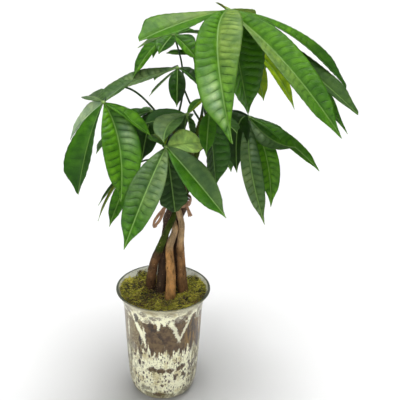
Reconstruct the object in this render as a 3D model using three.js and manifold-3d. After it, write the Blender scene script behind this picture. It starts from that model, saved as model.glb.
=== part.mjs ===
// Potted money tree: five plaited stems in moss, in a flared silvered glass vase.
// Millimetres, +Z up, origin at the centre of the vase's base, front of the plant towards -Y.
import * as THREE from "three";
import Module from "manifold-3d";

const wasm = await Module();
wasm.setup();
const { Manifold, Mesh } = wasm;

// Driving dimensions
const VASE_HEIGHT = 160;      // base to lip
const RIM_RADIUS = 63.5;      // a 5 inch mouth
const WALL = 3.5;             // blown glass wall
const FLOOR = 8;              // thick glass bottom
const VASE_SIDES = 40;
const GAP = 0.3;              // clearance kept between neighbouring pieces
const SOIL_TOP = 138;
const MOSS_BASE = SOIL_TOP + GAP;
const STEM_ROOT = 100;        // lower ends of the stems, inside the soil
const STEM_SIDES = 8;
const PLAIT_RADIUS = 10.8;    // half width of the plait, centre line to centre line
const PLAIT_START = 250;
const PLAIT_END = 300;
const PLAIT_RATE = 2.5;       // degrees that the plait turns in each millimetre of height
const PLAIT_STEM = 4.0;       // stem radius in the plait
const BLADE_THICKNESS = 0.8;
const BLADE_STEPS = 6;
const BLADE_FOLD = 18;        // degrees that each half of a blade rises from its rib
const WIDEST = 0.55;          // share of its length where a blade is widest
const OUTLINE_POWER = 1.9;    // greater for slimmer ends
const PETIOLE_RADIUS = 1.1;
const PETIOLE_SIDES = 5;
const HUB_RADIUS = 3.2;
const TIE_HEIGHT = 288;
const TIE_BAND = 7;           // height of the raffia band
const TIE_THICKNESS = 1.2;

const rad = (degrees) => degrees * Math.PI / 180;
const mix = (a, b, s) => a + (b - a) * s;
const ease = (s) => s * s * (3 - 2 * s);
const V = (x, y, z) => new THREE.Vector3(x, y, z);
const UP = V(0, 0, 1);

// Closed solid from a list of points and of triangles
function solid(points, triangles) {
  const mesh = new Mesh({
    numProp: 3,
    vertProperties: new Float32Array(points.flatMap((p) => [p.x, p.y, p.z])),
    triVerts: new Uint32Array(triangles.flat()),
  });
  return new Manifold(mesh);
}

// Profile of radius and height, from axis to axis, turned round the Z axis
function revolve(profile, sides) {
  const points = [];
  const rows = profile.map(([r, z]) => {
    if (r === 0) {
      points.push(V(0, 0, z));
      return Array(sides).fill(points.length - 1);
    }
    const row = [];
    for (let i = 0; i < sides; i++) {
      const a = 2 * Math.PI * i / sides;
      points.push(V(r * Math.cos(a), r * Math.sin(a), z));
      row.push(points.length - 1);
    }
    return row;
  });
  const triangles = [];
  for (let k = 0; k + 1 < rows.length; k++) {
    for (let i = 0; i < sides; i++) {
      const j = (i + 1) % sides;
      const [a, b, c, d] = [rows[k][i], rows[k][j], rows[k + 1][j], rows[k + 1][i]];
      if (a !== b) triangles.push([a, b, c]);
      if (c !== d) triangles.push([a, c, d]);
    }
  }
  return solid(points, triangles);
}

// Round bar along a line of points, with a radius at each point
function bar(centres, radii, sides) {
  const points = [];
  const triangles = [];
  let side = null;
  centres.forEach((c, k) => {
    const before = centres[Math.max(k - 1, 0)];
    const after = centres[Math.min(k + 1, centres.length - 1)];
    const along = after.clone().sub(before).normalize();
    if (!side) side = Math.abs(along.z) > 0.9 ? V(1, 0, 0) : UP.clone();
    side = side.clone().addScaledVector(along, -side.dot(along)).normalize();
    const across = along.clone().cross(side);
    for (let i = 0; i < sides; i++) {
      const a = 2 * Math.PI * i / sides;
      points.push(c.clone().addScaledVector(side, radii[k] * Math.cos(a))
        .addScaledVector(across, radii[k] * Math.sin(a)));
    }
  });
  for (let k = 0; k + 1 < centres.length; k++) {
    for (let i = 0; i < sides; i++) {
      const j = (i + 1) % sides;
      const [a, b, c, d] = [k * sides + i, k * sides + j, (k + 1) * sides + j, (k + 1) * sides + i];
      triangles.push([a, b, c], [a, c, d]);
    }
  }
  const last = (centres.length - 1) * sides;
  for (let i = 1; i + 1 < sides; i++) {
    triangles.push([0, i + 1, i], [last, last + i, last + i + 1]);
  }
  return solid(points, triangles);
}

// Value at x on a smooth curve through rows whose first entry is the place and the rest the values
function through(rows, x) {
  let k = 0;
  while (k < rows.length - 2 && x > rows[k + 1][0]) k++;
  const p0 = rows[Math.max(k - 1, 0)];
  const p1 = rows[k];
  const p2 = rows[k + 1];
  const p3 = rows[Math.min(k + 2, rows.length - 1)];
  const s = Math.min(Math.max((x - p1[0]) / (p2[0] - p1[0]), 0), 1);
  return p1.slice(1).map((v1, i) => {
    const [v0, v2, v3] = [p0[i + 1], p2[i + 1], p3[i + 1]];
    const m1 = p2[0] === p0[0] ? 0 : (v2 - v0) / (p2[0] - p0[0]) * (p2[0] - p1[0]);
    const m2 = p3[0] === p1[0] ? 0 : (v3 - v1) / (p3[0] - p1[0]) * (p2[0] - p1[0]);
    const s2 = s * s;
    const s3 = s2 * s;
    return v1 * (2 * s3 - 3 * s2 + 1) + m1 * (s3 - 2 * s2 + s)
      + v2 * (3 * s2 - 2 * s3) + m2 * (s3 - s2);
  });
}

// Vase: outside and inside profiles, radius and height
const OUTSIDE = [
  [31, 0], [36.5, 1.5], [41.5, 6], [45, 14], [47.3, 26], [49.8, 60], [51.8, 100],
  [53, 128], [55, 143], [59, 153], [RIM_RADIUS, VASE_HEIGHT - 0.8],
];
const INSIDE = [
  [RIM_RADIUS - WALL + 0.3, VASE_HEIGHT - 0.8], [59 - WALL, 153 - 0.5], [55 - WALL, 143],
  [53 - WALL, 128], [51.8 - WALL, 100], [49.8 - WALL, 60], [47.3 - WALL, 26],
  [41, 15], [35, FLOOR + 1], [0, FLOOR],
];
const LIP = [[RIM_RADIUS - 0.9, VASE_HEIGHT], [RIM_RADIUS - WALL + 1.3, VASE_HEIGHT]];
const vase = revolve([[0, 0], ...OUTSIDE, ...LIP, ...INSIDE], VASE_SIDES);

// Inner wall radius of the vase at a height
function innerRadius(z) {
  const rows = [...INSIDE].reverse().slice(1).map(([r, h]) => [h, r]);
  for (let k = 0; k + 1 < rows.length; k++) {
    if (z <= rows[k + 1][0]) {
      return mix(rows[k][1], rows[k + 1][1], (z - rows[k][0]) / (rows[k + 1][0] - rows[k][0]));
    }
  }
  return rows[rows.length - 1][1];
}

// Middle line of the bundle, leaning right as it rises: height, x, y
const LEAN = [[100, 3.5, 0], [150, 6, 0], [200, 10, 0], [250, 13, 0], [300, 19.5, 0],
  [350, 32, -1], [400, 45, -2]];

// The five stems: offsets from the middle line below the plait, turn at the plait's start and top
const STEMS = [
  { foot: [[100, -21, 9], [150, -23, 9], [175, -23.6, 5], [200, -21.6, -2], [225, -15.5, -9]],
    turn: 42, top: [56, 18, 402] },
  { foot: [[100, -8, -3], [150, -9.5, -1], [175, -10, 1], [200, -10, 4], [225, -9.8, 7]],
    turn: 330, top: [46, -8, 404] },
  { foot: [[100, 3, -17], [150, 2.8, -18], [175, 2.2, -16], [200, -0.8, -13], [225, -3.2, -9]],
    turn: 258, top: [19, -27, 376] },
  { foot: [[100, 19, -5], [150, 20.5, -4], [175, 17, -3.5], [200, 13.5, -3], [225, 11, -2.5]],
    turn: 186, top: [16, 18, 390] },
  { foot: [[100, 9, 15], [150, 10, 16], [175, 9, 15], [200, 8, 13], [225, 6.5, 11]],
    turn: 114, top: [37, -26, 388] },
];
const STEM_RADII = [[100, 7.2], [150, 7.1], [175, 6.4], [200, 5.8], [225, 5.0], [250, PLAIT_STEM],
  [300, PLAIT_STEM], [350, 3.6], [410, 3.0]];

function plaitOffset(stem, z) {
  const turn = rad(stem.turn + PLAIT_RATE * (z - PLAIT_START));
  return [-PLAIT_RADIUS * Math.cos(turn), -PLAIT_RADIUS * Math.sin(2 * turn)];
}

function stemCentre(stem, z) {
  const [mx, my] = through(LEAN, z);
  if (z <= PLAIT_START) {
    const rows = [...stem.foot, [PLAIT_START, ...plaitOffset(stem, PLAIT_START)],
      [PLAIT_START + 12, ...plaitOffset(stem, PLAIT_START + 12)]];
    const [x, y] = through(rows, z);
    return V(mx + x, my + y, z);
  }
  const [px, py] = plaitOffset(stem, Math.min(z, PLAIT_END));
  if (z <= PLAIT_END) return V(mx + px, my + py, z);
  const [tx, ty, tz] = stem.top;
  const s = (z - PLAIT_END) / (tz - PLAIT_END);
  const [mtx, mty] = through(LEAN, tz);
  const w = s * (1.6 - 0.6 * s);
  return V(mx + mix(px, tx - mtx, w), my + mix(py, ty - mty, w), z);
}

const stemRadius = (z) => through(STEM_RADII, z)[0];

function stemBar(stem, extra) {
  const centres = [];
  const radii = [];
  const top = stem.top[2];
  const levels = [STEM_ROOT - extra];
  for (let z = STEM_ROOT + 20; z < 230; z += 16) levels.push(z);
  for (let z = 230; z < PLAIT_END + 8; z += 9) levels.push(z);
  for (let z = PLAIT_END + 16; z < top - 8; z += 18) levels.push(z);
  levels.push(top - 2, top + extra);
  for (const z of levels) {
    centres.push(stemCentre(stem, z));
    radii.push((z >= top ? 0.7 : 1) * stemRadius(z) + extra * 1.08);
  }
  return bar(centres, radii, STEM_SIDES);
}

const stemSolids = STEMS.map((stem) => stemBar(stem, 0));
const stemHoles = STEMS.map((stem) => stemBar(stem, GAP));

// Soil fills the vase below the moss, with a plain hole for each stem
const soilProfile = [[0, FLOOR + GAP], [34.5, FLOOR + 1 + GAP], [40.4, 15.2], [43.3, 26],
  [45.8, 60], [47.8, 100], [49, 128], [50.2, SOIL_TOP - 1], [48, SOIL_TOP], [0, SOIL_TOP]];
let soil = revolve(soilProfile, 24);
for (const hole of stemHoles) soil = soil.subtract(hole);

// Moss: mounds that rise towards the lip, x, y, height and spread of each mound
const MOUNDS = [
  [42, -14, 5, 16], [40, 14, 5, 12], [-42, -14, 5, 15], [-38, 18, 5, 13], [0, -46, 4, 14],
  [-24, -40, 4, 12], [26, -40, 4, 12], [2, 40, 2, 12], [-50, 2, 4, 11], [52, 0, 4, 11],
];
function mossHeight(x, y) {
  let h = 154 - 7 * ease(Math.min(Math.max((y - 12) / 34, 0), 1));
  for (const [mx, my, rise, spread] of MOUNDS) {
    h += rise * Math.exp(-((x - mx) ** 2 + (y - my) ** 2) / (spread * spread));
  }
  h += 0.9 * Math.sin(x * 0.55 + 1) * Math.cos(y * 0.5);
  return Math.min(h, 158);
}
function mossSolid() {
  const sides = 24;
  const rings = [10, 19, 28, 37, 45, 51];
  const points = [V(0, 0, MOSS_BASE), V(0, 0, mossHeight(0, 0))];
  const triangles = [];
  const index = [];
  rings.forEach((r, k) => {
    const row = [];
    for (let i = 0; i < sides; i++) {
      const a = 2 * Math.PI * (i + (k % 2) * 0.5) / sides;
      let h = mossHeight(r * Math.cos(a), r * Math.sin(a));
      let reach = r;
      if (k === rings.length - 1) {
        h = Math.min(h, 158.5) - 1;
        reach = innerRadius(h) * 0.993 - 1;
      }
      points.push(V(reach * Math.cos(a), reach * Math.sin(a), h));
      row.push(points.length - 1);
    }
    index.push(row);
  });
  const [belly, foot] = [145, MOSS_BASE].map((z) => {
    const row = [];
    for (let i = 0; i < sides; i++) {
      const a = 2 * Math.PI * (i + ((rings.length - 1) % 2) * 0.5) / sides;
      const reach = innerRadius(z) * 0.993 - 1;
      points.push(V(reach * Math.cos(a), reach * Math.sin(a), z));
      row.push(points.length - 1);
    }
    return row;
  });
  for (let i = 0; i < sides; i++) {
    const j = (i + 1) % sides;
    triangles.push([1, index[0][i], index[0][j]]);
    for (let k = 0; k + 1 < index.length; k++) {
      const [a, b] = [index[k], index[k + 1]];
      if (k % 2 === 0) triangles.push([a[i], b[i], a[j]], [a[j], b[i], b[j]]);
      else triangles.push([a[i], b[i], b[j]], [a[i], b[j], a[j]]);
    }
    const last = index[index.length - 1];
    triangles.push([last[i], belly[i], belly[j]], [last[i], belly[j], last[j]]);
    triangles.push([belly[i], foot[i], foot[j]], [belly[i], foot[j], belly[j]]);
    triangles.push([0, foot[j], foot[i]]);
  }
  return solid(points, triangles);
}
let moss = mossSolid();
for (const hole of stemHoles) moss = moss.subtract(hole);

// Raffia tie round the top of the plait, with a folded loop on the left and a strip on the right
function ribbon(centres, widths, facing) {
  const points = [];
  const triangles = [];
  centres.forEach((c, k) => {
    const before = centres[Math.max(k - 1, 0)];
    const after = centres[Math.min(k + 1, centres.length - 1)];
    const along = after.clone().sub(before).normalize();
    const across = along.clone().cross(facing).normalize();
    const out = across.clone().cross(along).normalize();
    for (const [a, b] of [[-0.5, -0.5], [0.5, -0.5], [0.5, 0.5], [-0.5, 0.5]]) {
      points.push(c.clone().addScaledVector(across, a * widths[k])
        .addScaledVector(out, b * TIE_THICKNESS));
    }
  });
  for (let k = 0; k + 1 < centres.length; k++) {
    for (let i = 0; i < 4; i++) {
      const j = (i + 1) % 4;
      triangles.push([4 * k + i, 4 * k + 4 + j, 4 * k + j], [4 * k + i, 4 * k + 4 + i, 4 * k + 4 + j]);
    }
  }
  const last = 4 * (centres.length - 1);
  triangles.push([0, 1, 2], [0, 2, 3], [last, last + 2, last + 1], [last, last + 3, last + 2]);
  const body = solid(points, triangles);
  return body;
}
const TIE_INNER = 17.9;
const [tieX, tieY] = through(LEAN, TIE_HEIGHT);
const band = Manifold.cylinder(TIE_BAND, TIE_INNER + TIE_THICKNESS, TIE_INNER + TIE_THICKNESS, 28)
  .subtract(Manifold.cylinder(TIE_BAND + 2, TIE_INNER, TIE_INNER, 28).translate([0, 0, -1]))
  .translate([tieX, tieY, TIE_HEIGHT - TIE_BAND / 2]);
const TIE_ENDS = [
  { path: [[-12.5, -13.8, 2], [-17, -16.5, -6], [-21.5, -18, -13], [-28, -19, -28]],
    widths: [5, 6, 7, 8], facing: [0.3, -1, 0.1] },
  { path: [[11.5, -15, 2], [13.5, -16, -4], [15, -16.3, -9], [17, -16.5, -15]],
    widths: [4, 4.5, 5, 6], facing: [-0.3, -1, 0.1] },
];
let tie = band;
for (const { path, widths, facing } of TIE_ENDS) {
  const centres = path.map(([x, y, z]) => V(tieX + x, tieY + y, TIE_HEIGHT + z));
  tie = tie.add(ribbon(centres, widths, V(...facing)));
}

// Half width of a blade from base (0) to tip (1), as a share of its greatest half width
function bladeShare(t, peak) {
  return (t / peak) ** (OUTLINE_POWER * peak) * ((1 - t) / (1 - peak)) ** (OUTLINE_POWER * (1 - peak));
}

// One leaflet: x, y, z from hub to tip, width, roll, arch and bow as shares of length, fold, and
// where its right and its left half are widest, seen looking out from the hub
function leaflet(hub, row, seed) {
  const [dx, dy, dz, width, roll, arch, bow = 0, fold = BLADE_FOLD, right = WIDEST, left = right] = row;
  const reach = V(dx, dy, dz);
  const length = reach.length();
  const steps = length > 100 ? BLADE_STEPS : BLADE_STEPS - 1;
  const flat = V(dy, -dx, 0).normalize();
  const middle = hub.clone().addScaledVector(reach, 0.5).addScaledVector(UP, arch * length)
    .addScaledVector(flat, bow * length);
  const tip = hub.clone().add(reach);
  const points = [];
  const triangles = [];
  for (let k = 0; k <= steps; k++) {
    const t = k / steps;
    const c = hub.clone().multiplyScalar((1 - t) ** 2).addScaledVector(middle, 2 * t * (1 - t))
      .addScaledVector(tip, t * t);
    const along = middle.clone().sub(hub).multiplyScalar(1 - t)
      .addScaledVector(tip.clone().sub(middle), t).normalize();
    const level = flat.clone().addScaledVector(along, -flat.dot(along)).normalize();
    const face = level.clone().cross(along);
    const side = level.clone().multiplyScalar(Math.cos(rad(roll)))
      .addScaledVector(face, Math.sin(rad(roll)));
    const normal = face.clone().multiplyScalar(Math.cos(rad(roll)))
      .addScaledVector(level, -Math.sin(rad(roll)));
    for (const face2 of [0.5, -0.5]) {
      for (const s of [-1, 0, 1]) {
        const half = Math.max(width / 2 * bladeShare(t, s > 0 ? right : left), k === 0 ? 0.9 : 0.6);
        const rise = half * Math.sin(rad(fold));
        const spread = half * Math.cos(rad(fold));
        const wave = s * s * 0.05 * half * Math.sin(9 * t + seed + s);
        points.push(c.clone().addScaledVector(side, s * spread)
          .addScaledVector(normal, s * s * rise + wave + face2 * BLADE_THICKNESS));
      }
    }
  }
  const ring = [0, 1, 2, 5, 4, 3];
  for (let k = 0; k < steps; k++) {
    const [a, b] = [6 * k, 6 * k + 6];
    for (let i = 0; i < 6; i++) {
      const [p, q] = [ring[i], ring[(i + 1) % 6]];
      // Both faces are split on the line from the nearer rib to the farther edge
      if (p === 1 || p === 4) triangles.push([a + p, a + q, b + q], [a + p, b + q, b + p]);
      else triangles.push([a + p, a + q, b + p], [a + q, b + q, b + p]);
    }
  }
  const end = 6 * steps;
  triangles.push([0, 4, 1], [0, 3, 4], [1, 5, 2], [1, 4, 5]);
  triangles.push([end, end + 1, end + 4], [end, end + 4, end + 3]);
  triangles.push([end + 1, end + 2, end + 5], [end + 1, end + 5, end + 4]);
  return solid(points, triangles);
}

// Leaves: stem number, height where the petiole leaves it, way point, hub and leaflets
const LEAVES = [
  { stem: 1, from: 404, via: [60, 20, 520], hub: [70, -40, 535], blades: [
    [-96, -45, -26, 40, 20, 0.06, 0, 18, 0.8, 0.6], [-100, 10, -45, 26, 15, 0.03],
    [1, -110, -117, 55, 0, 0.34, 0.18, 18, 0.66, 0.36], [26, -25, -112, 70, 0, 0.12, 0.02, 18, 0.6, 0.5],
    [119, -90, -117, 44, -25, 0.12, 0, 24, 0.68, 0.5], [143, 5, -88, 32, -20, 0.21, 0, 18, 0.78],
    [143, -22, -135, 38, -30, 0.12], [151, -28, -110, 34, -25, 0.06, 0, 18, 0.76],
    [31, 67, -26, 36, 0, 0.1], [-13, 2, 8, 6, 0, 0]] },
  { stem: 2, from: 372, via: [-45, -5, 472], hub: [-65, -90, 443], blades: [
    [30, 40, 15, 30, 10, 0.03], [-25, 70, -14, 26, 20, 0.08], [-43, 35, -55, 30, 40, 0.12],
    [-27, -40, -91, 48, -15, 0.15, 0.05, 24, 0.68], [19, -45, -97, 46, 0, 0.15, -0.15],
    [52, -5, -37, 26, -10, 0.08]] },
  { stem: 2, from: 374, via: [8, -80, 415], hub: [3, -110, 400], blades: [
    [-43, -90, -78, 37, 15, 0.12, -0.02], [63, -55, -59, 36, -20, 0.03, 0, 18, 0.55, 0.45],
    [42, 30, -6, 34, -35, 0.05], [-16, 50, -3, 22, 10, 0.05], [10, -6, -75, 33, -52, 0.03, 0, 18, 0.8]] },
  { stem: 1, from: 396, via: [28, -12, 420], hub: [16, -10, 462], blades: [
    [-100, 15, -41, 30, 20, 0.04], [-1, -35, -36, 21, 0, 0.15], [34, -8, -30, 24, -10, 0.25],
    [-34, 15, -38, 8, -10, 0.03], [-28, 60, -30, 30, 0, 0.1]] },
  { stem: 3, from: 390, via: [34, 30, 440], hub: [11, 20, 495], blades: [
    [-48, -20, -48, 22, 20, 0.3], [-25, 30, -35, 22, 10, 0.15], [-17, -30, -16, 24, 10, 0.1],
    [29, -12, -27, 28, -20, 0.1], [40, 45, -8, 30, 0, 0.1]] },
  { stem: 1, from: 388, via: [80, -15, 425], hub: [102, -20, 406], blades: [
    [80, -50, -49, 18, -20, 0.12, 0, 18, 0.62], [50, -50, -20, 36, -25, -0.25],
    [25, -55, -93, 28, -15, 0.1, -0.15], [15, -80, -104, 26, -5, 0.1, 0.12],
    [-14, -24, -62, 38, 0, 0.6, 0.22], [50, 55, -50, 34, 0, 0.1]] },
  { stem: 4, from: 384, via: [32, -55, 412], hub: [26, -70, 424], blades: [
    [-49, -5, -10, 28, 20, 0.05], [-26, -50, -15, 32, 0, 0.12, 0.25], [19, 30, 11, 12, 0, 0.03],
    [5, 2, -24, 24, 0, 0.1], [-5, 2, -32, 28, -10, 0.1], [-8, 45, -30, 28, 0, 0.1]] },
  { stem: 4, from: 370, via: [52, -55, 405], hub: [50, -90, 433], blades: [
    [-5, -40, -35, 20, 0, 0.2], [9, -8, -84, 46, 0, 0.05], [35, 35, -35, 28, 0, 0.1],
    [12, 45, -72, 26, 0, 0.1]] },
  { stem: 3, from: 330, via: [-15, -10, 355], hub: [-35, -30, 347], blades: [
    [-46, 0, -53, 9, 20, 0.1], [-44, -30, -60, 6, 0, 0.1, 0.15], [-29, -45, -60, 20, 15, 0.1],
    [-20, 50, -40, 34, 0, 0.1]] },
  { stem: 3, from: 378, via: [0, 22, 405], hub: [-15, 20, 400], blades: [
    [-50, 0, -21, 24, 20, 0.1], [-12, -30, -54, 38, 0, 0.1], [22, -20, -50, 28, 0, 0.1],
    [-40, 55, -30, 34, 0, 0.1]] },
  { stem: 0, from: 402, via: [90, 25, 450], hub: [105, 30, 476], blades: [
    [61, 0, -75, 21, -45, 0.28], [21, 0, -64, 24, -60, 0.1], [-15, 45, -50, 34, 0, 0.1],
    [-50, 15, -45, 32, 0, 0.1]] },
  { stem: 0, from: 390, via: [44, 32, 432], hub: [36, 40, 468], blades: [
    [-33, -5, 2, 10, 30, 0.03], [-12, 42, 16, 20, 0, 0.1], [26, -14, -20, 22, 0, 0.1]] },
  { stem: 0, from: 388, via: [50, 60, 440], hub: [50, 85, 458], blades: [
    [20, 50, -78, 36, 0, 0.1], [20, 85, -60, 40, 0, 0.15], [55, 50, -65, 40, 0, 0.15],
    [55, -10, -60, 34, 0, 0.15]] },
  { stem: 0, from: 380, via: [105, 55, 430], hub: [130, 75, 468], blades: [
    [65, 35, -60, 40, 0, 0.15], [40, 85, -60, 44, 0, 0.15], [-10, 85, -75, 40, 0, 0.1],
    [60, -15, -65, 32, 0, 0.15]] },
  { stem: 3, from: 372, via: [-20, 60, 390], hub: [-35, 90, 370], blades: [
    [-60, 20, -60, 38, 0, 0.15], [-45, 70, -65, 42, 0, 0.15], [15, 80, -75, 42, 0, 0.15]] },
  { stem: 0, from: 366, via: [55, 70, 380], hub: [55, 100, 350], blades: [
    [-25, 50, -80, 38, 0, 0.15], [45, 45, -80, 42, 0, 0.15], [65, -5, -60, 36, 0, 0.15]] },
];

function petiole(leaf) {
  const start = stemCentre(STEMS[leaf.stem], leaf.from);
  const via = V(...leaf.via);
  const hub = V(...leaf.hub);
  const centres = [];
  const radii = [];
  for (let k = 0; k <= 7; k++) {
    const t = k / 7;
    centres.push(start.clone().multiplyScalar((1 - t) ** 2).addScaledVector(via, 2 * t * (1 - t))
      .addScaledVector(hub, t * t));
    radii.push(PETIOLE_RADIUS * mix(1.25, 0.9, t));
  }
  return bar(centres, radii, PETIOLE_SIDES);
}

function leafSolid(leaf, number) {
  const hub = V(...leaf.hub);
  let body = petiole(leaf).add(Manifold.sphere(HUB_RADIUS, 4).translate(leaf.hub));
  leaf.blades.forEach((blade, k) => {
    body = body.add(leaflet(hub, blade, number + 1.7 * k));
  });
  return body.subtract(stemHoles[leaf.stem]);
}

// Meshes
function toGeometry(body) {
  const mesh = body.getMesh();
  const geometry = new THREE.BufferGeometry();
  geometry.setAttribute("position", new THREE.BufferAttribute(mesh.vertProperties, 3));
  geometry.setIndex(new THREE.BufferAttribute(mesh.triVerts, 1));
  geometry.computeVertexNormals();
  return geometry;
}

const group = new THREE.Group();
group.name = "potted_money_tree";
function piece(name, body, color, roughness) {
  const material = new THREE.MeshStandardMaterial({ color, roughness, metalness: 0 });
  material.name = name + "_material";
  const mesh = new THREE.Mesh(toGeometry(body), material);
  mesh.name = name;
  group.add(mesh);
}

piece("glass_vase", vase, 0xcfcbb0, 0.15);
piece("soil", soil, 0x3a2a1c, 0.95);
piece("moss", moss, 0x6d7a28, 0.95);
stemSolids.forEach((body, k) => piece("stem_" + (k + 1), body, 0x8a6240, 0.8));
piece("raffia_tie", tie, 0xc9a877, 0.8);
LEAVES.forEach((leaf, k) => {
  const name = "leaf_" + String(k + 1).padStart(2, "0");
  piece(name, leafSolid(leaf, k), k % 2 ? 0x3f7a2a : 0x4f8f33, 0.4);
});

export default group;
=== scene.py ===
"""Potted money tree: five plaited stems with palmate leaves, in moss, in a flared silvered glass vase.

Lengths in the classes are millimetres, and each piece becomes metres as it is finished.
The front of the plant faces -Y, and the origin is the centre of the vase's base.
"""
import logging
import math
import random
from dataclasses import dataclass, field
from enum import Enum
from typing import Callable, Sequence, Union

import bmesh
import bpy
from mathutils import Matrix, Vector, noise


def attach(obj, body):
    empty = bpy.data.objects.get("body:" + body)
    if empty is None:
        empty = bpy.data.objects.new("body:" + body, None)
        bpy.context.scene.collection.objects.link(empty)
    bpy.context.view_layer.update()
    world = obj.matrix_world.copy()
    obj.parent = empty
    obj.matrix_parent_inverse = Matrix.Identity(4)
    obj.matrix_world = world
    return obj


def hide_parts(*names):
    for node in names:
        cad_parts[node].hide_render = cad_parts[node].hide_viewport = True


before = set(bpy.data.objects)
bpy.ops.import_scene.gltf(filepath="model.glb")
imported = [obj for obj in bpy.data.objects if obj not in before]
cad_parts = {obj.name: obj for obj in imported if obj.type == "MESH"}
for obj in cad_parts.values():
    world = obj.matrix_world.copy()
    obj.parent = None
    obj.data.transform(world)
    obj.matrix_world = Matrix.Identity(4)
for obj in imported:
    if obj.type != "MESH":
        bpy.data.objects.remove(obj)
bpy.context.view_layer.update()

LOG = logging.getLogger("money_tree")
MM = 0.001
TURN = 2 * math.pi
UP = Vector((0, 0, 1))
# Points nearer than this, in millimetres, are merged
WELD = 1e-4
# Factors that leave a colour as it is
PLAIN = (1.0, 1.0, 1.0)
Colour = tuple[float, float, float]
Socket = bpy.types.NodeSocket
Value = Union[Socket, float, tuple]


def linear(red: float, green: float, blue: float) -> Colour:
    """Turns a screen colour into the linear colour that a shader takes.

    Args:
        red: Red from 0 to 255.
        green: Green from 0 to 255.
        blue: Blue from 0 to 255.

    Returns:
        The three linear parts, from 0 to 1.
    """
    parts = [part / 255 for part in (red, green, blue)]
    return tuple(p / 12.92 if p <= 0.04045 else ((p + 0.055) / 1.055) ** 2.4 for p in parts)


def mix(a: float, b: float, share: float) -> float:
    """Returns the number that lies a share of the way from a to b."""
    return a + (b - a) * share


def blend(a: Sequence[float], b: Sequence[float], share: float) -> tuple:
    """Returns the colour that lies a share of the way from a to b."""
    return tuple(mix(p, q, share) for p, q in zip(a, b))


def ease(value: float, low: float = 0.0, high: float = 1.0) -> float:
    """Returns a smooth step from 0 at low to 1 at high."""
    s = min(max((value - low) / (high - low), 0.0), 1.0)
    return s * s * (3 - 2 * s)


def polar(radius: float, angle: float) -> tuple[float, float]:
    """Returns the two coordinates of a point at a radius and an angle."""
    return radius * math.cos(angle), radius * math.sin(angle)


def uneven(x: float, y: float, z: float) -> float:
    """Returns smooth noise, from about -1 to 1, at a point."""
    return noise.noise(Vector((x, y, z)))


def hump(x: float, y: float, middle_x: float, middle_y: float, spread: float) -> float:
    """Returns the height at a point of a round hump, which is 1 at its middle."""
    return math.exp(-((x - middle_x) ** 2 + (y - middle_y) ** 2) / spread**2)


def through(rows: Sequence[Sequence[float]], x: float) -> list[float]:
    """Reads a smooth curve through rows of numbers.

    Args:
        rows: Rows whose first number is the place and whose others are the values there.
        x: The place to read.

    Returns:
        The values at x, held at the first and last rows outside them.
    """
    k = 0
    while k < len(rows) - 2 and x > rows[k + 1][0]:
        k += 1
    p0, p1, p2 = rows[max(k - 1, 0)], rows[k], rows[k + 1]
    p3 = rows[min(k + 2, len(rows) - 1)]
    span = p2[0] - p1[0]
    s = min(max((x - p1[0]) / span, 0.0), 1.0)
    values = []
    for v0, v1, v2, v3 in zip(p0[1:], p1[1:], p2[1:], p3[1:]):
        m1 = (v2 - v0) / (p2[0] - p0[0]) * span
        m2 = (v3 - v1) / (p3[0] - p1[0]) * span
        values.append(v1 * (2 * s**3 - 3 * s**2 + 1) + m1 * (s**3 - 2 * s**2 + s)
                      + v2 * (3 * s**2 - 2 * s**3) + m2 * (s**3 - s**2))
    return values


def bend(a: Vector, b: Vector, c: Vector, t: float) -> Vector:
    """Returns the point at share t of the curve that leaves a towards b and ends at c."""
    return a * (1 - t) ** 2 + b * (2 * t * (1 - t)) + c * t * t


class Tone(Enum):
    """Leaf colours, as they look on a screen in soft light."""

    FRESH = (82, 138, 28)
    MID = (62, 116, 20)
    DEEP = (42, 90, 14)
    DARK = (28, 62, 8)
    # SHEEN is a painted sheen: the blue-tinged pale green of a glossy leaf reflecting the light.
    SHEEN = (76, 110, 62)
    LIME = (142, 176, 14)
    OLIVE = (92, 98, 16)
    DULL = (102, 130, 88)
    SATIN = (118, 152, 78)
    SILVER = (178, 206, 176)
    BUFF = (200, 238, 148)


class Bark(Enum):
    """Stem colours from moss to crown, as they look on a screen in soft light."""

    TAN = (186, 140, 86)
    SAND = (174, 148, 112)
    FAWN = (136, 102, 66)
    BROWN = (108, 80, 52)
    UMBER = (78, 58, 40)
    # This near-black bark is painted shade, for the stems at the back of the plait that stand in the leaves'
    # shadow.
    BLACK = (72, 56, 42)
    GREEN = (58, 76, 10)


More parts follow.
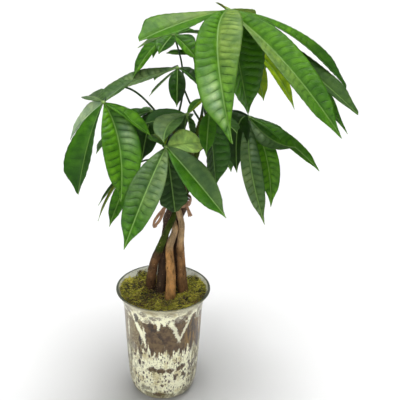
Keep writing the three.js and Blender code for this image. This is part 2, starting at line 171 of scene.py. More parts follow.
class Recipe:
    """A material's node tree, built with short calls."""

    def __init__(self, name: str) -> None:
        """Starts an empty node tree.

        Args:
            name: The material's name.
        """
        self.material = bpy.data.materials.new(name)
        self.material.use_nodes = True
        self.tree = self.material.node_tree
        self.tree.nodes.clear()
        self.output = self.add("OutputMaterial")

    def feed(self, socket: Socket, value: Value) -> None:
        """Links a socket to another, or sets it to a number or colour.

        Args:
            socket: The input.
            value: An output socket, a number, or a tuple of them.
        """
        if isinstance(value, Socket):
            self.tree.links.new(value, socket)
        elif isinstance(value, tuple) and socket.type == "RGBA" and len(value) == 3:
            socket.default_value = (*value, 1)
        else:
            socket.default_value = value

    def add(self, kind: str, **inputs: Value) -> bpy.types.Node:
        """Adds a node and feeds its inputs.

        Args:
            kind: Blender's name of the node, without ShaderNode.
            inputs: What its inputs take, by their names with _ for a space.

        Returns:
            The node.
        """
        node = self.tree.nodes.new(f"ShaderNode{kind}")
        for name, value in inputs.items():
            self.feed(node.inputs[name.replace("_", " ")], value)
        return node

    def place(self) -> Socket:
        """Returns the point on the piece, in metres of the shared frame."""
        return self.add("TexCoord").outputs["Object"]

    def stretched(self, vector: Value, scale: Colour) -> Socket:
        """Returns a vector with each part multiplied by its own scale."""
        return self.add("Mapping", Vector=vector, Scale=scale).outputs["Vector"]

    def parts(self, vector: Value) -> tuple:
        """Returns the three parts of a vector."""
        return tuple(self.add("SeparateXYZ", Vector=vector).outputs)

    def attribute(self, name: str) -> bpy.types.Node:
        """Reads one of the piece's own attributes.

        Args:
            name: The attribute's name.

        Returns:
            The node, with its Color, Vector and Alpha outputs.
        """
        node = self.add("Attribute")
        node.attribute_name = name
        return node

    def cloud(self, vector: Value, scale: float, detail: float, rough: float, warp: float = 0) -> Socket:
        """Returns soft noise.

        Args:
            vector: Where to read it.
            scale: How many features there are in one unit.
            detail: How many finer layers are added.
            rough: How strong the finer layers are.
            warp: How far the pattern is pushed about.

        Returns:
            A value around a half.
        """
        return self.add("TexNoise", Vector=vector, Scale=scale, Detail=detail, Roughness=rough,
                        Distortion=warp).outputs[0]

    def cells(self, vector: Value, scale: float, feature: str = "F1") -> bpy.types.Node:
        """Makes a cell pattern.

        Args:
            vector: Where to read it.
            scale: How many cells there are in one unit.
            feature: What the distance is measured to, such as F1 or DISTANCE_TO_EDGE.

        Returns:
            The node, with its Distance and Color outputs.
        """
        node = self.add("TexVoronoi", Vector=vector, Scale=scale)
        node.feature = feature
        return node

    def maths(self, kind: str, a: Value, b: Value = 0.0) -> Socket:
        """Returns the result of one sum.

        Args:
            kind: Blender's name of the operation, such as ADD or MULTIPLY.
            a: The first value.
            b: The second value.

        Returns:
            The result.
        """
        node = self.add("Math")
        node.operation = kind
        self.feed(node.inputs[0], a)
        self.feed(node.inputs[1], b)
        return node.outputs[0]

    def times(self, a: Value, b: Value) -> Socket:
        """Returns a multiplied by b."""
        return self.maths("MULTIPLY", a, b)

    def plus(self, a: Value, b: Value) -> Socket:
        """Returns the sum of a and b."""
        return self.maths("ADD", a, b)

    def minus(self, a: Value, b: Value) -> Socket:
        """Returns a less b."""
        return self.maths("SUBTRACT", a, b)

    def step(self, value: Value, low: float, high: float) -> Socket:
        """Returns a smooth step of a value, from 0 at low to 1 at high.

        Args:
            value: The value.
            low: Where the step is 0. It may be above high, so that the step falls.
            high: Where the step is 1.

        Returns:
            The step, from 0 to 1.
        """
        node = self.add("MapRange", Value=value, From_Min=min(low, high), From_Max=max(low, high),
                        To_Min=float(low > high), To_Max=float(low < high))
        node.interpolation_type = "SMOOTHSTEP"
        return node.outputs["Result"]

    def mixed(self, share: Value, a: Value, b: Value, most: float = 1.0, kind: str = "MIX") -> Socket:
        """Returns a mix of two colours.

        Args:
            share: How much of b there is.
            a: The first colour.
            b: The second colour.
            most: What the share is multiplied by.
            kind: Blender's name of the way they are mixed.

        Returns:
            The mixed colour.
        """
        if most < 1:
            share = self.times(share, most)
        node = self.add("Mix")
        node.data_type = "RGBA"
        node.blend_type = kind
        # A Mix node's inputs for colours are 6 and 7, and its output for them is 2
        for number, value in ((0, share), (6, a), (7, b)):
            self.feed(node.inputs[number], value)
        return node.outputs[2]

    def shaded(self, colour: Value, share: Value, low: Colour, high: Colour, most: float = 1.0) -> Socket:
        """Returns a colour made uneven.

        Args:
            colour: The colour.
            share: How far it goes from the low factors to the high ones.
            low: What its parts are multiplied by where the share is 0.
            high: What its parts are multiplied by where the share is 1.
            most: What the share is multiplied by.

        Returns:
            The uneven colour.
        """
        ends = [colour if factors is PLAIN else self.mixed(1.0, colour, factors, kind="MULTIPLY")
                for factors in (low, high)]
        return self.mixed(share, *ends, most)

    def relief(self, height: Value, depth: float, strength: float) -> Socket:
        """Returns a normal with a fine relief.

        Args:
            height: The relief, from 0 to 1.
            depth: How high 1 stands, in metres.
            strength: How much of the relief shows.

        Returns:
            The normal.
        """
        return self.add("Bump", Height=height, Distance=depth, Strength=strength).outputs[0]

    def surface(self, **settings: Value) -> Socket:
        """Returns a shader with the named sockets set, such as Base_Color or Roughness."""
        return self.add("BsdfPrincipled", **settings).outputs[0]

    def done(self, shader: Socket) -> bpy.types.Material:
        """Links the shader to the output and returns the finished material."""
        self.feed(self.output.inputs["Surface"], shader)
        return self.material


@dataclass(frozen=True)
class LeafFinish:
    """Glossy leaf: side veins darkened with painted shade in their sunken creases, painted highlights on its
    quilted panels, a pale rib, fine netting, and a dull underside.
    """

    roughness: float = 0.36
    rib: Colour = linear(138, 176, 92)
    beneath: Colour = linear(92, 122, 66)
    glow: Colour = linear(150, 190, 30)
    glow_share: float = 0.16

    def material(self) -> bpy.types.Material:
        """Builds the material, which reads the tint and vein attributes.

        Returns:
            The material.
        """
        r = Recipe("leaf_finish")
        tint, alpha = (r.attribute("tint").outputs[name] for name in ("Color", "Alpha"))
        count, from_rib, across = r.parts(r.attribute("vein").outputs["Vector"])
        spot = r.place()
        bold = r.step(alpha, 0.25, 1.0)
        upper = r.step(alpha, 0.05, 0.2)
        off_vein = r.maths("ABSOLUTE", r.minus(r.maths("FRACT", count), 0.5))
        inner = r.times(r.times(r.step(across, 0.04, 0.2), r.step(across, 1.0, 0.62)), bold)
        vein = r.times(r.step(off_vein, 0.39, 0.475), inner)
        crown = r.times(r.step(off_vein, 0.42, 0.05), inner)
        patches = r.cloud(spot, 90, 4, 0.6)
        flecks = r.cloud(spot, 700, 3, 0.6)
        colour = r.shaded(tint, r.step(patches, 0.33, 0.7), (0.62, 0.7, 0.6), (1.3, 1.18, 0.9))
        # Painted light: crown is 1 in the middle of each quilted panel, which is lightened and blued there as
        # a highlight and darkened a little elsewhere as shade.
        colour = r.shaded(colour, crown, (0.86, 0.89, 0.82), (1.26, 1.18, 1.3))
        colour = r.shaded(colour, r.step(flecks, 0.45, 0.75), PLAIN, (1.5, 1.4, 1.2), 0.25)
        # Painted shade: the side veins are darkened as the shadow in their sunken creases.
        colour = r.shaded(colour, vein, PLAIN, (0.28, 0.36, 0.3), 0.9)
        rib = r.step(from_rib, 0.95, 0.45)
        colour = r.mixed(rib, colour, self.rib, 0.6)
        colour = r.shaded(colour, r.step(across, 0.955, 0.995), PLAIN, (0.5, 0.5, 0.4), 0.4)
        under = r.mixed(vein, r.mixed(0.3, tint, self.beneath), self.rib, 0.5)
        under = r.mixed(rib, under, self.rib)
        colour = r.mixed(upper, under, colour)
        net = r.cells(spot, 520, "DISTANCE_TO_EDGE").outputs["Distance"]
        height = r.plus(r.times(r.step(net, 0.0, 0.25), 0.5), r.times(patches, 0.5))
        height = r.minus(height, r.times(vein, 0.8))
        rough = r.plus(r.times(flecks, 0.14), self.roughness - 0.07)
        rough = r.plus(rough, r.times(r.minus(1.0, upper), 0.25))
        shade = r.surface(Base_Color=colour, Roughness=rough, Normal=r.relief(height, 0.0005, 0.6),
                          Specular_IOR_Level=0.22)
        lit_through = r.add("BsdfTranslucent", Color=r.mixed(0.6, colour, self.glow)).outputs[0]
        both = r.add("MixShader")
        for socket, value in zip(both.inputs, (self.glow_share, shade, lit_through)):
            r.feed(socket, value)
        return r.done(both.outputs[0])


@dataclass(frozen=True)
class StalkFinish:
    """Smooth leaf stalk, coloured by its tint attribute, with faint lengthwise lines."""

    roughness: float = 0.45

    def material(self) -> bpy.types.Material:
        """Builds the material, which reads the tint attribute.

        Returns:
            The material.
        """
        r = Recipe("stalk_finish")
        tint = r.attribute("tint").outputs["Color"]
        lines = r.cloud(r.stretched(r.place(), (900, 900, 60)), 1, 3, 0.6)
        colour = r.shaded(tint, r.step(lines, 0.3, 0.75), (0.65, 0.65, 0.6), (1.3, 1.25, 1.1))
        rough = r.plus(r.times(lines, 0.2), self.roughness - 0.1)
        return r.done(r.surface(Base_Color=colour, Roughness=rough, Normal=r.relief(lines, 0.0003, 0.5)))


@dataclass(frozen=True)
class BarkFinish:
    """Young bark: lengthwise cracks, pale breathing pores, scuffs, and green where the stem is young."""

    crack: Colour = linear(40, 26, 18)
    pore: Colour = linear(190, 158, 120)
    roughness: float = 0.78

    def material(self) -> bpy.types.Material:
        """Builds the material, which reads the tint attribute.

        Returns:
            The material.
        """
        r = Recipe("bark_finish")
        spot = r.place()
        tint = r.attribute("tint").outputs["Color"]
        along = r.stretched(spot, (1, 1, 0.16))
        grain = r.cloud(along, 620, 5, 0.65, 0.4)
        cracks = r.cloud(along, 300, 4, 0.6, 1.2)
        patches = r.cloud(r.stretched(spot, (1, 1, 0.6)), 110, 4, 0.6)
        colour = r.shaded(tint, r.step(patches, 0.3, 0.72), (0.52, 0.52, 0.52), (1.25, 1.2, 1.15))
        colour = r.shaded(colour, r.step(grain, 0.4, 0.66), PLAIN, (1.5, 1.45, 1.4), 0.6)
        colour = r.mixed(r.step(cracks, 0.42, 0.33), colour, self.crack, 0.8)
        pores = r.cells(r.stretched(spot, (1, 1, 1.8)), 260)
        chosen = r.step(r.parts(pores.outputs["Color"])[0], 0.72, 0.78)
        dots = r.times(r.step(pores.outputs["Distance"], 0.3, 0.16), chosen)
        colour = r.mixed(dots, colour, self.pore, 0.6)
        height = r.plus(r.times(grain, 0.5), r.times(r.step(cracks, 0.3, 0.5), 0.7))
        height = r.plus(height, r.times(dots, 0.5))
        rough = r.plus(r.times(grain, 0.2), self.roughness - 0.1)
        return r.done(r.surface(Base_Color=colour, Roughness=rough, Normal=r.relief(height, 0.0011, 0.9),
                                Specular_IOR_Level=0.2))


@dataclass(frozen=True)
class MossFinish:
    """Dried sheet moss: each thread has its own tint, darker at its root."""

    roughness: float = 0.9

    def material(self) -> bpy.types.Material:
        """Builds the material, which reads the tint attribute.

        Returns:
            The material.
        """
        r = Recipe("moss_finish")
        spot = r.place()
        tint = r.attribute("tint").outputs["Color"]
        fuzz = r.cloud(spot, 1100, 4, 0.7)
        clumps = r.cloud(spot, 160, 3, 0.6)
        colour = r.shaded(tint, r.step(clumps, 0.3, 0.7), (0.62, 0.58, 0.52), (1.3, 1.22, 1.0))
        colour = r.shaded(colour, r.step(fuzz, 0.3, 0.7), (0.7, 0.7, 0.62), PLAIN)
        return r.done(r.surface(Base_Color=colour, Roughness=self.roughness, Specular_IOR_Level=0.2,
                                Normal=r.relief(fuzz, 0.0008, 0.8), Sheen_Weight=0.15, Sheen_Roughness=0.6))


@dataclass(frozen=True)
class SoilFinish:
    """Dark damp potting soil with bark crumbs and pale grit."""

    dark: Colour = linear(38, 27, 19)
    crumb: Colour = linear(84, 60, 40)
    grit: Colour = linear(190, 184, 170)

    def material(self) -> bpy.types.Material:
        """Builds the material, which reads only where it is.

        Returns:
            The material.
        """
        r = Recipe("soil_finish")
        spot = r.place()
        from_crumb = r.cells(spot, 240).outputs["Distance"]
        colour = r.mixed(r.step(from_crumb, 0.5, 0.1), self.dark, self.crumb)
        specks = r.cells(spot, 420)
        pale = r.times(r.step(specks.outputs["Distance"], 0.25, 0.15),
                       r.step(r.parts(specks.outputs["Color"])[1], 0.86, 0.9))
        colour = r.mixed(pale, colour, self.grit)
        rise = r.plus(r.step(from_crumb, 0.6, 0.0), r.cloud(spot, 700, 4, 0.7))
        return r.done(r.surface(Base_Color=colour, Roughness=0.95, Normal=r.relief(rise, 0.0015, 0.9)))


@dataclass(frozen=True)
class RaffiaFinish:
    """Dry raffia strip: long fine fibres, paler and darker in turn."""

    pale: Colour = linear(188, 150, 114)
    brown: Colour = linear(122, 84, 60)

    def material(self) -> bpy.types.Material:
        """Builds the material, whose fibres follow the strip's UV map.

        Returns:
            The material.
        """
        r = Recipe("raffia_finish")
        uv = r.add("UVMap")
        uv.uv_map = "UVMap"
        fibres = r.cloud(r.stretched(uv.outputs[0], (26, 2.2, 1)), 1, 4, 0.65, 0.3)
        stain = r.cloud(r.place(), 120, 3, 0.5)
        colour = r.mixed(r.step(fibres, 0.32, 0.68), self.brown, self.pale)
        colour = r.shaded(colour, r.step(stain, 0.5, 0.72), PLAIN, (0.55, 0.48, 0.42), 0.6)
        return r.done(r.surface(Base_Color=colour, Roughness=0.72, Normal=r.relief(fibres, 0.0006, 0.8)))


@dataclass(frozen=True)
class Mark:
    """A soft mark in the silvering: its middle, half sizes, strength, and lean in degrees a millimetre."""

    turn: float
    height: float
    half_turn: float
    half_height: float
    strength: float = 1.0
    lean: float = 0.0


@dataclass(frozen=True)
class SilveringFinish:
    """Antique silvering: cream silver with runs below the rim, a tarnished belt, specks and a dark edge,
    painted shade on the flanks and a painted shadow below the rim.
    """

    cream: Colour = linear(255, 254, 222)
    shade: Colour = linear(216, 206, 156)
    ash: Colour = linear(142, 130, 96)
    taupe: Colour = linear(114, 92, 58)
    umber: Colour = linear(72, 52, 34)
    violet: Colour = linear(120, 108, 94)
    gold: Colour = linear(136, 104, 46)
    soot: Colour = linear(42, 32, 24)
    olive: Colour = linear(112, 102, 54)
    edge: Colour = linear(84, 92, 76)
    wall: Colour = linear(214, 214, 194)
    wall_pale: Colour = linear(250, 250, 238)
    wall_fleck: Colour = linear(140, 136, 104)
    wall_foot: Colour = linear(120, 118, 84)
    belt_top: tuple[float, float] = (133, 138)
    belt_foot: float = 86
    left_seam: tuple[float, float] = (-27, -35)
    right_seam: tuple[float, float] = (30, 38)
    rim_line: tuple[float, float] = (159.4, 159.8)
    runs: tuple[Mark, ...] = (
        Mark(17, 122, 3.4, 20, 0.8, -0.4), Mark(33, 121, 2.6, 18, 0.75, 0.6),
        Mark(-39.5, 125, 3.6, 22, 1, -0.53), Mark(-7, 133, 3.0, 9), Mark(-29, 109, 2.4, 17, 0.9, -0.1),
        Mark(-34, 104, 1.8, 9, 0.8), Mark(1, 137, 3, 6), Mark(66, 118, 1.6, 12, 0.4),
        Mark(-62, 112, 2.0, 16, 0.7), Mark(98, 122, 4, 20, 1, -0.4), Mark(118, 120, 4, 18, 1, 0.6),
        Mark(156, 122, 4, 19, 1, -0.5), Mark(-172, 118, 4, 18, 1, 0.5), Mark(-140, 122, 4, 20, 1, 0.4),
        Mark(-104, 124, 4, 19, 1, -0.5),
    )
    stains: tuple[Mark, ...] = (
        Mark(-18.5, 129, 5, 5), Mark(-14, 124, 5, 4), Mark(-41.5, 137, 4, 7, 0.9),
        Mark(-3.5, 112, 1.6, 11, 1, -0.61), Mark(-36, 103, 3, 9), Mark(-36, 78, 2.6, 7, 0.8),
        Mark(-39, 66, 3, 5), Mark(37, 43, 3, 6, 0.8, 0.4), Mark(-30, 24, 9, 4, 0.6),
        Mark(47, 112, 2, 22, 0.8), Mark(126, 104, 4, 9), Mark(-124, 110, 4, 9), Mark(178, 130, 5, 7),
        Mark(-84, 106, 4, 10, 0.8), Mark(86, 108, 3, 14, 0.8),
    )
    clouds: tuple[Mark, ...] = (
        Mark(23, 139, 8, 6, 0.8), Mark(-12, 143, 10, 3.4, 0.8), Mark(-28, 148, 5, 5, 0.8),
        Mark(6, 149, 6, 2.4, 0.6), Mark(38, 146, 6, 5, 0.8), Mark(-56, 146, 8, 7, 0.8),
        Mark(62, 148, 6, 6, 0.7), Mark(14, 154, 12, 1.6, 0.5), Mark(53, 57, 7, 8, 1, 0.9),
        Mark(28, 141, 10, 4, 0.8), Mark(48, 16, 11, 5, 0.8), Mark(-22, 137, 6, 3, 0.7),
        Mark(-50, 88, 6, 6, 0.7), Mark(140, 136, 9, 6, 0.8), Mark(-150, 140, 9, 5, 0.8),
        Mark(-96, 84, 8, 6, 0.7), Mark(110, 78, 8, 5, 0.8),
    )
    dashes: tuple[Mark, ...] = (
        Mark(-17, 58, 8, 4.2), Mark(-3, 57, 8, 4.4), Mark(11, 58, 7, 4.0), Mark(29, 60, 7, 4.6),
        Mark(20, 45, 2.6, 5), Mark(33, 47, 4, 5), Mark(-3, 31, 3, 3), Mark(4, 41, 2, 1.8),
        Mark(-7, 39, 2, 1.8), Mark(-7, 15, 12, 4.2), Mark(95, 58, 12, 3), Mark(128, 55, 9, 3),
        Mark(-120, 60, 14, 3), Mark(170, 57, 12, 3), Mark(-165, 60, 9, 3.4), Mark(-80, 56, 9, 3),
    )

    def mark(self, r: Recipe, turn: Value, height: Value, mark: Mark) -> Socket:
        """Returns how much of one mark there is at a point.

        Args:
            r: The node tree.
            turn: The point's turn from the front, in degrees.
            height: The point's height in millimetres.
            mark: The mark.

        Returns:
            A value from 0 to 1.
        """
        rise = r.minus(height, mark.height)
        dx = r.minus(turn, mark.turn)
        if mark.lean:
            dx = r.minus(dx, r.times(rise, mark.lean))
        dx = r.maths("DIVIDE", dx, mark.half_turn)
        dz = r.maths("DIVIDE", rise, mark.half_height)
        far = r.maths("SQRT", r.plus(r.times(dx, dx), r.times(dz, dz)))
        return r.times(r.step(far, 1.2, 0.75), mark.strength)

    def marks_of(self, r: Recipe, turn: Value, height: Value, marks: Sequence[Mark]) -> Socket:
        """Returns how much there is of the strongest of several marks at a point.

        Args:
            r: The node tree.
            turn: The point's turn from the front, in degrees.
            height: The point's height in millimetres.
            marks: The marks.

        Returns:
            A value from 0 to 1.
        """
        total: Value = 0.0
        for mark in marks:
            total = r.maths("MAXIMUM", total, self.mark(r, turn, height, mark))
        return total

    def edged(self, r: Recipe, colour: Value, y: Value, share: Value) -> Socket:
        """Returns the colour with the rim's dark edge on it, paler at the front.

        Args:
            r: The node tree.
            colour: The colour.
            y: How far back the point is, in metres.
            share: How much of the point is on the edge.

        Returns:
            The colour.
        """
        dark = r.plus(r.times(r.step(y, -0.05, -0.03), 0.65), 0.3)
        return r.mixed(r.times(share, dark), colour, self.edge)

    def belt_colour(self, r: Recipe, spot: Value, turn: Value, fine: Value, streaks: Value) -> Socket:
        """Returns the belt's colour: ash on the left, brown in the middle, gold with dark lines on the right.

        Args:
            r: The node tree.
            spot: The point.
            turn: Its turn from the front, in degrees.
            fine: Fine noise.
            streaks: Noise drawn out up and down.

        Returns:
            The colour.
        """
        middle = r.mixed(r.step(r.cloud(spot, 150, 4, 0.6), 0.36, 0.66), self.taupe, self.umber)
        left = r.mixed(r.step(fine, 0.4, 0.62), self.ash, self.taupe)
        left = r.mixed(r.step(r.cloud(spot, 700, 2, 0.6), 0.6, 0.68), left, self.shade)
        right = r.mixed(r.step(streaks, 0.42, 0.54), self.umber, self.gold)
        right = r.mixed(r.step(fine, 0.5, 0.7), right, self.olive, 0.5)
        colour = r.mixed(r.step(turn, *self.left_seam), middle, left)
        return r.mixed(r.step(turn, *self.right_seam), colour, right)

    def specked(self, r: Recipe, colour: Value, spot: Value, height: Value) -> Socket:
        """Returns the colour with drips and two sizes of dark speck on its lower part.

        Args:
            r: The node tree.
            colour: The colour.
            spot: The point.
            height: Its height in millimetres.

        Returns:
            The colour.
        """
        drips = r.cloud(r.stretched(spot, (1, 1, 0.3)), 260, 3, 0.6, 0.8)
        drips = r.times(r.step(drips, 0.58, 0.64), r.step(height, 104, 78))
        colour = r.mixed(drips, colour, self.olive, 0.55)
        for scale, left_out in ((190, 0.44), (330, 0.56)):
            specks = r.cells(r.stretched(spot, (1, 1, 0.6)), scale)
            seen = r.times(r.step(specks.outputs["Distance"], 0.36, 0.26),
                           r.step(r.parts(specks.outputs["Color"])[0], left_out, left_out + 0.05))
            colour = r.mixed(r.times(seen, r.step(height, 104, 88)), colour, self.umber, 0.9)
        return colour

    def outside(self) -> bpy.types.Material:
        """Builds the outer wall's material.

        Returns:
            The material.
        """
        r = Recipe("silvered_outside")
        spot = r.place()
        x, y, z = r.parts(spot)
        push = r.cloud(spot, 95, 4, 0.6)
        fine = r.cloud(spot, 420, 4, 0.65)
        wobble = r.minus(push, 0.5)
        ripple = r.minus(fine, 0.5)
        turn = r.times(r.maths("ARCTAN2", x, r.times(y, -1.0)), 180 / math.pi)
        turn = r.plus(r.plus(turn, r.times(wobble, 9.0)), r.times(ripple, 7.0))
        height = r.times(z, 1 / MM)
        ragged = r.plus(r.plus(height, r.times(ripple, 9.0)), r.times(wobble, 9.0))
        streaks = r.cloud(r.stretched(spot, (1, 1, 0.14)), 190, 3, 0.6, 0.5)
        # The belt's upper edge is ragged, and its lower edge is in points
        above = r.step(r.plus(ragged, r.times(wobble, 44.0)), *self.belt_top)
        points = r.plus(r.times(r.minus(streaks, 0.5), 74.0), self.belt_foot)
        below = r.step(r.minus(height, points), 3.0, -3.0)
        belt = r.minus(1.0, r.maths("MAXIMUM", above, below))
        cream = r.mixed(r.step(r.cloud(spot, 60, 4, 0.6), 0.34, 0.52), self.shade, self.cream)
        cream = r.mixed(r.step(fine, 0.5, 0.64), cream, self.ash, 0.6)
        # Painted shade: the flanks, from 38 to 60 degrees either side of the front, are darkened towards
        # olive, broken up by the streaks.
        sides = r.times(r.step(r.maths("ABSOLUTE", turn), 38, 60), r.step(streaks, 0.44, 0.52))
        cream = r.mixed(sides, cream, self.olive, 0.85)
        colour = r.mixed(belt, cream, self.belt_colour(r, spot, turn, fine, streaks))
        clouds = r.times(self.marks_of(r, turn, ragged, self.clouds), r.step(fine, 0.34, 0.5))
        colour = r.mixed(clouds, colour, self.violet)
        colour = r.mixed(self.marks_of(r, turn, height, self.runs), colour, self.cream)
        stain = r.mixed(r.step(fine, 0.4, 0.6), self.umber, self.soot)
        colour = r.mixed(self.marks_of(r, turn, ragged, self.stains), colour, stain)
        dashes = r.times(self.marks_of(r, turn, ragged, self.dashes), r.step(fine, 0.3, 0.42))
        colour = r.mixed(dashes, colour, r.mixed(r.step(fine, 0.4, 0.65), self.umber, self.taupe))
        colour = self.specked(r, colour, spot, height)
        foot = r.step(r.plus(height, r.times(wobble, 60)), 21, 9)
        colour = r.mixed(foot, colour, self.olive, 0.75)
        # Painted shadow: the wall is darkened towards ash from about 143 mm up to the rim.
        rim_shadow = r.step(r.plus(height, r.times(wobble, 40)), 143, 156)
        colour = r.mixed(rim_shadow, colour, self.ash, 0.55)
        colour = self.edged(r, colour, y, r.step(height, *self.rim_line))
        rough = r.plus(r.times(fine, 0.3), 0.18)
        return r.done(r.surface(Base_Color=colour, Roughness=rough, Metallic=0.1, Coat_Weight=0.28,
                                Coat_Roughness=0.06, Normal=r.relief(r.plus(fine, push), 0.0004, 0.5)))

    def inside(self) -> bpy.types.Material:
        """Builds the inner wall's material: pale silvering seen through thin glass.

        Returns:
            The material.
        """
        r = Recipe("silvered_inside")
        spot = r.place()
        _, y, z = r.parts(spot)
        height = r.times(z, 1 / MM)
        fine = r.cloud(spot, 300, 4, 0.65)
        broad = r.cloud(r.stretched(spot, (1, 1, 0.4)), 80, 4, 0.6)
        colour = r.mixed(r.step(broad, 0.35, 0.65), self.wall, self.wall_pale)
        colour = r.mixed(r.step(fine, 0.54, 0.68), colour, self.wall_fleck, 0.5)
        colour = r.mixed(r.step(height, 152, 146), colour, self.wall_foot, 0.6)
        colour = self.edged(r, colour, y, r.step(height, 159.5, 159.9))
        return r.done(r.surface(Base_Color=colour, Roughness=0.2, Metallic=0.15, Coat_Weight=0.8,
                                Coat_Roughness=0.06, Normal=r.relief(fine, 0.0003, 0.4)))


@dataclass(frozen=True)
class FloorFinish:
    """Plain pale studio floor."""

    colour: Colour = (0.68, 0.68, 0.68)

    def material(self) -> bpy.types.Material:
        """Returns the material."""
        r = Recipe("floor_finish")
        return r.done(r.surface(Base_Color=self.colour, Roughness=0.9, Specular_IOR_Level=0.1))


@dataclass(frozen=True)
class BackdropFinish:
    """Plain white paper, lit evenly."""

    def material(self) -> bpy.types.Material:
        """Returns the material."""
        r = Recipe("backdrop_finish")
        return r.done(r.surface(Base_Color=(0, 0, 0), Roughness=1.0, Specular_IOR_Level=0.0,
                                Emission_Color=(1, 1, 1), Emission_Strength=1.0))


@dataclass
class Spot:
    """A point of a piece being shaped: its place, and its tint and vein values."""

    place: Vector
    tint: tuple = (1.0, 1.0, 1.0, 1.0)
    vein: tuple = (0.0, 0.0, 0.0)


@dataclass
class Ring:
    """A cross-section of a round bar: its middle, two directions across, radius and share of the run."""

    middle: Vector
    side: Vector
    across: Vector
    radius: float
    share: float

    def point(self, angle: float, swell: float = 1.0) -> Vector:
        """Returns the point of the ring at an angle, with its radius multiplied by swell."""
        x, y = polar(self.radius * swell, angle)
        return self.middle + self.side * x + self.across * y


def rings_along(points: Sequence[Vector], radii: Sequence[float]) -> list[Ring]:
    """Lays rings along a line of points, without twist, and closes both ends with a ring of no size.

    Args:
        points: The bar's middle line.
        radii: Its radius at each point.

    Returns:
        The rings, from the first end to the last.
    """
    rings = []
    side = None
    for k, point in enumerate(points):
        along = (points[min(k + 1, len(points) - 1)] - points[max(k - 1, 0)]).normalized()
        if side is None:
            side = Vector((1, 0, 0)) if abs(along.z) > 0.9 else UP.copy()
        side = (side - along * side.dot(along)).normalized()
        rings.append(Ring(point, side, along.cross(side), radii[k], k / (len(points) - 1)))
    first, last = rings[0], rings[-1]
    return [Ring(first.middle, first.side, first.across, 0, 0), *rings,
            Ring(last.middle, last.side, last.across, 0, 1)]


class Work:
    """One piece being modelled in millimetres, with its UV map and its tint and vein attributes."""

    def __init__(self) -> None:
        """Starts an empty mesh."""
        self.bm = bmesh.new()
        self.bm.loops.layers.uv.new("UVMap")
        self.tint = self.bm.verts.layers.float_color.new("tint")
        self.vein = self.bm.verts.layers.float_vector.new("vein")

    def grid(self, across: int, along: int, spot: Callable[[float, float], Spot],
             material: int = 0) -> list[bmesh.types.BMVert]:
        """Adds a grid of faces and moves each of its points into place.

        Args:
            across: Faces across it.
            along: Faces along it.
            spot: Gives the point for a share across and a share along.
            material: The faces' material index.

        Returns:
            The new vertices.
        """
        made = bmesh.ops.create_grid(self.bm, x_segments=across, y_segments=along, size=0.5,
                                     calc_uvs=True)["verts"]
        for vert in made:
            at = spot(vert.co.x + 0.5, vert.co.y + 0.5)
            vert.co, vert[self.tint], vert[self.vein] = at.place, at.tint, at.vein
        for face in {face for vert in made for face in vert.link_faces}:
            face.material_index = material
        return made

    def bar(self, rings: Sequence[Ring], around: int, tint: Callable[[Ring], tuple],
            swell: Callable[[Ring, float], float] | None = None, material: int = 0) -> None:
        """Adds a closed round bar.

        Args:
            rings: Its cross-sections.
            around: Faces round it.
            tint: Gives the tint at a ring.
            swell: Gives what the radius is multiplied by at a ring and an angle.
            material: The faces' material index.
        """
        def spot(u: float, v: float) -> Spot:
            """Returns a point of the bar.

            Args:
                u: Share round it.
                v: Share along it.

            Returns:
                The point, with its tint.
            """
            ring = rings[round(v * (len(rings) - 1))]
            angle = TURN * u
            return Spot(ring.point(angle, swell(ring, angle) if swell else 1.0), tint(ring))

        made = self.grid(around, len(rings) - 1, spot, material)
        bmesh.ops.remove_doubles(self.bm, verts=made, dist=WELD)

    def thicken(self, verts: Sequence[bmesh.types.BMVert], thickness: float) -> list[bmesh.types.BMVert]:
        """Gives a sheet a thickness away from its upper side.

        Args:
            verts: The sheet's vertices.
            thickness: The thickness.

        Returns:
            The vertices of the new under side.
        """
        faces = list({face for vert in verts for face in vert.link_faces})
        made = bmesh.ops.solidify(self.bm, geom=faces, thickness=thickness)["geom"]
        return [item for item in made if isinstance(item, bmesh.types.BMVert)]

    def finish(self, name: str, slot: str, materials: Sequence[bpy.types.Material],
               nodes: Sequence[str]) -> bpy.types.Object:
        """Turns the mesh into a piece in metres that stands for CAD nodes.

        Args:
            name: The piece's name.
            slot: The record's material slot, which is not used.
            materials: Its materials, in the order of the faces' indices.
            nodes: The CAD nodes that it replaces.

        Returns:
            The piece.
        """
        bmesh.ops.recalc_face_normals(self.bm, faces=self.bm.faces)
        bmesh.ops.scale(self.bm, vec=(MM, MM, MM), verts=self.bm.verts)
        mesh = bpy.data.meshes.new(name)
        for face in self.bm.faces:
            face.smooth = True
        self.bm.to_mesh(mesh)
        self.bm.free()
        for material in materials:
            mesh.materials.append(material)
        piece = bpy.data.objects.new(name, mesh)
        bpy.context.scene.collection.objects.link(piece)
        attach(piece, "root")
        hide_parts(*nodes)
        LOG.info("%s: %d faces, stands for %s", name, len(mesh.polygons), ", ".join(nodes))
        return piece


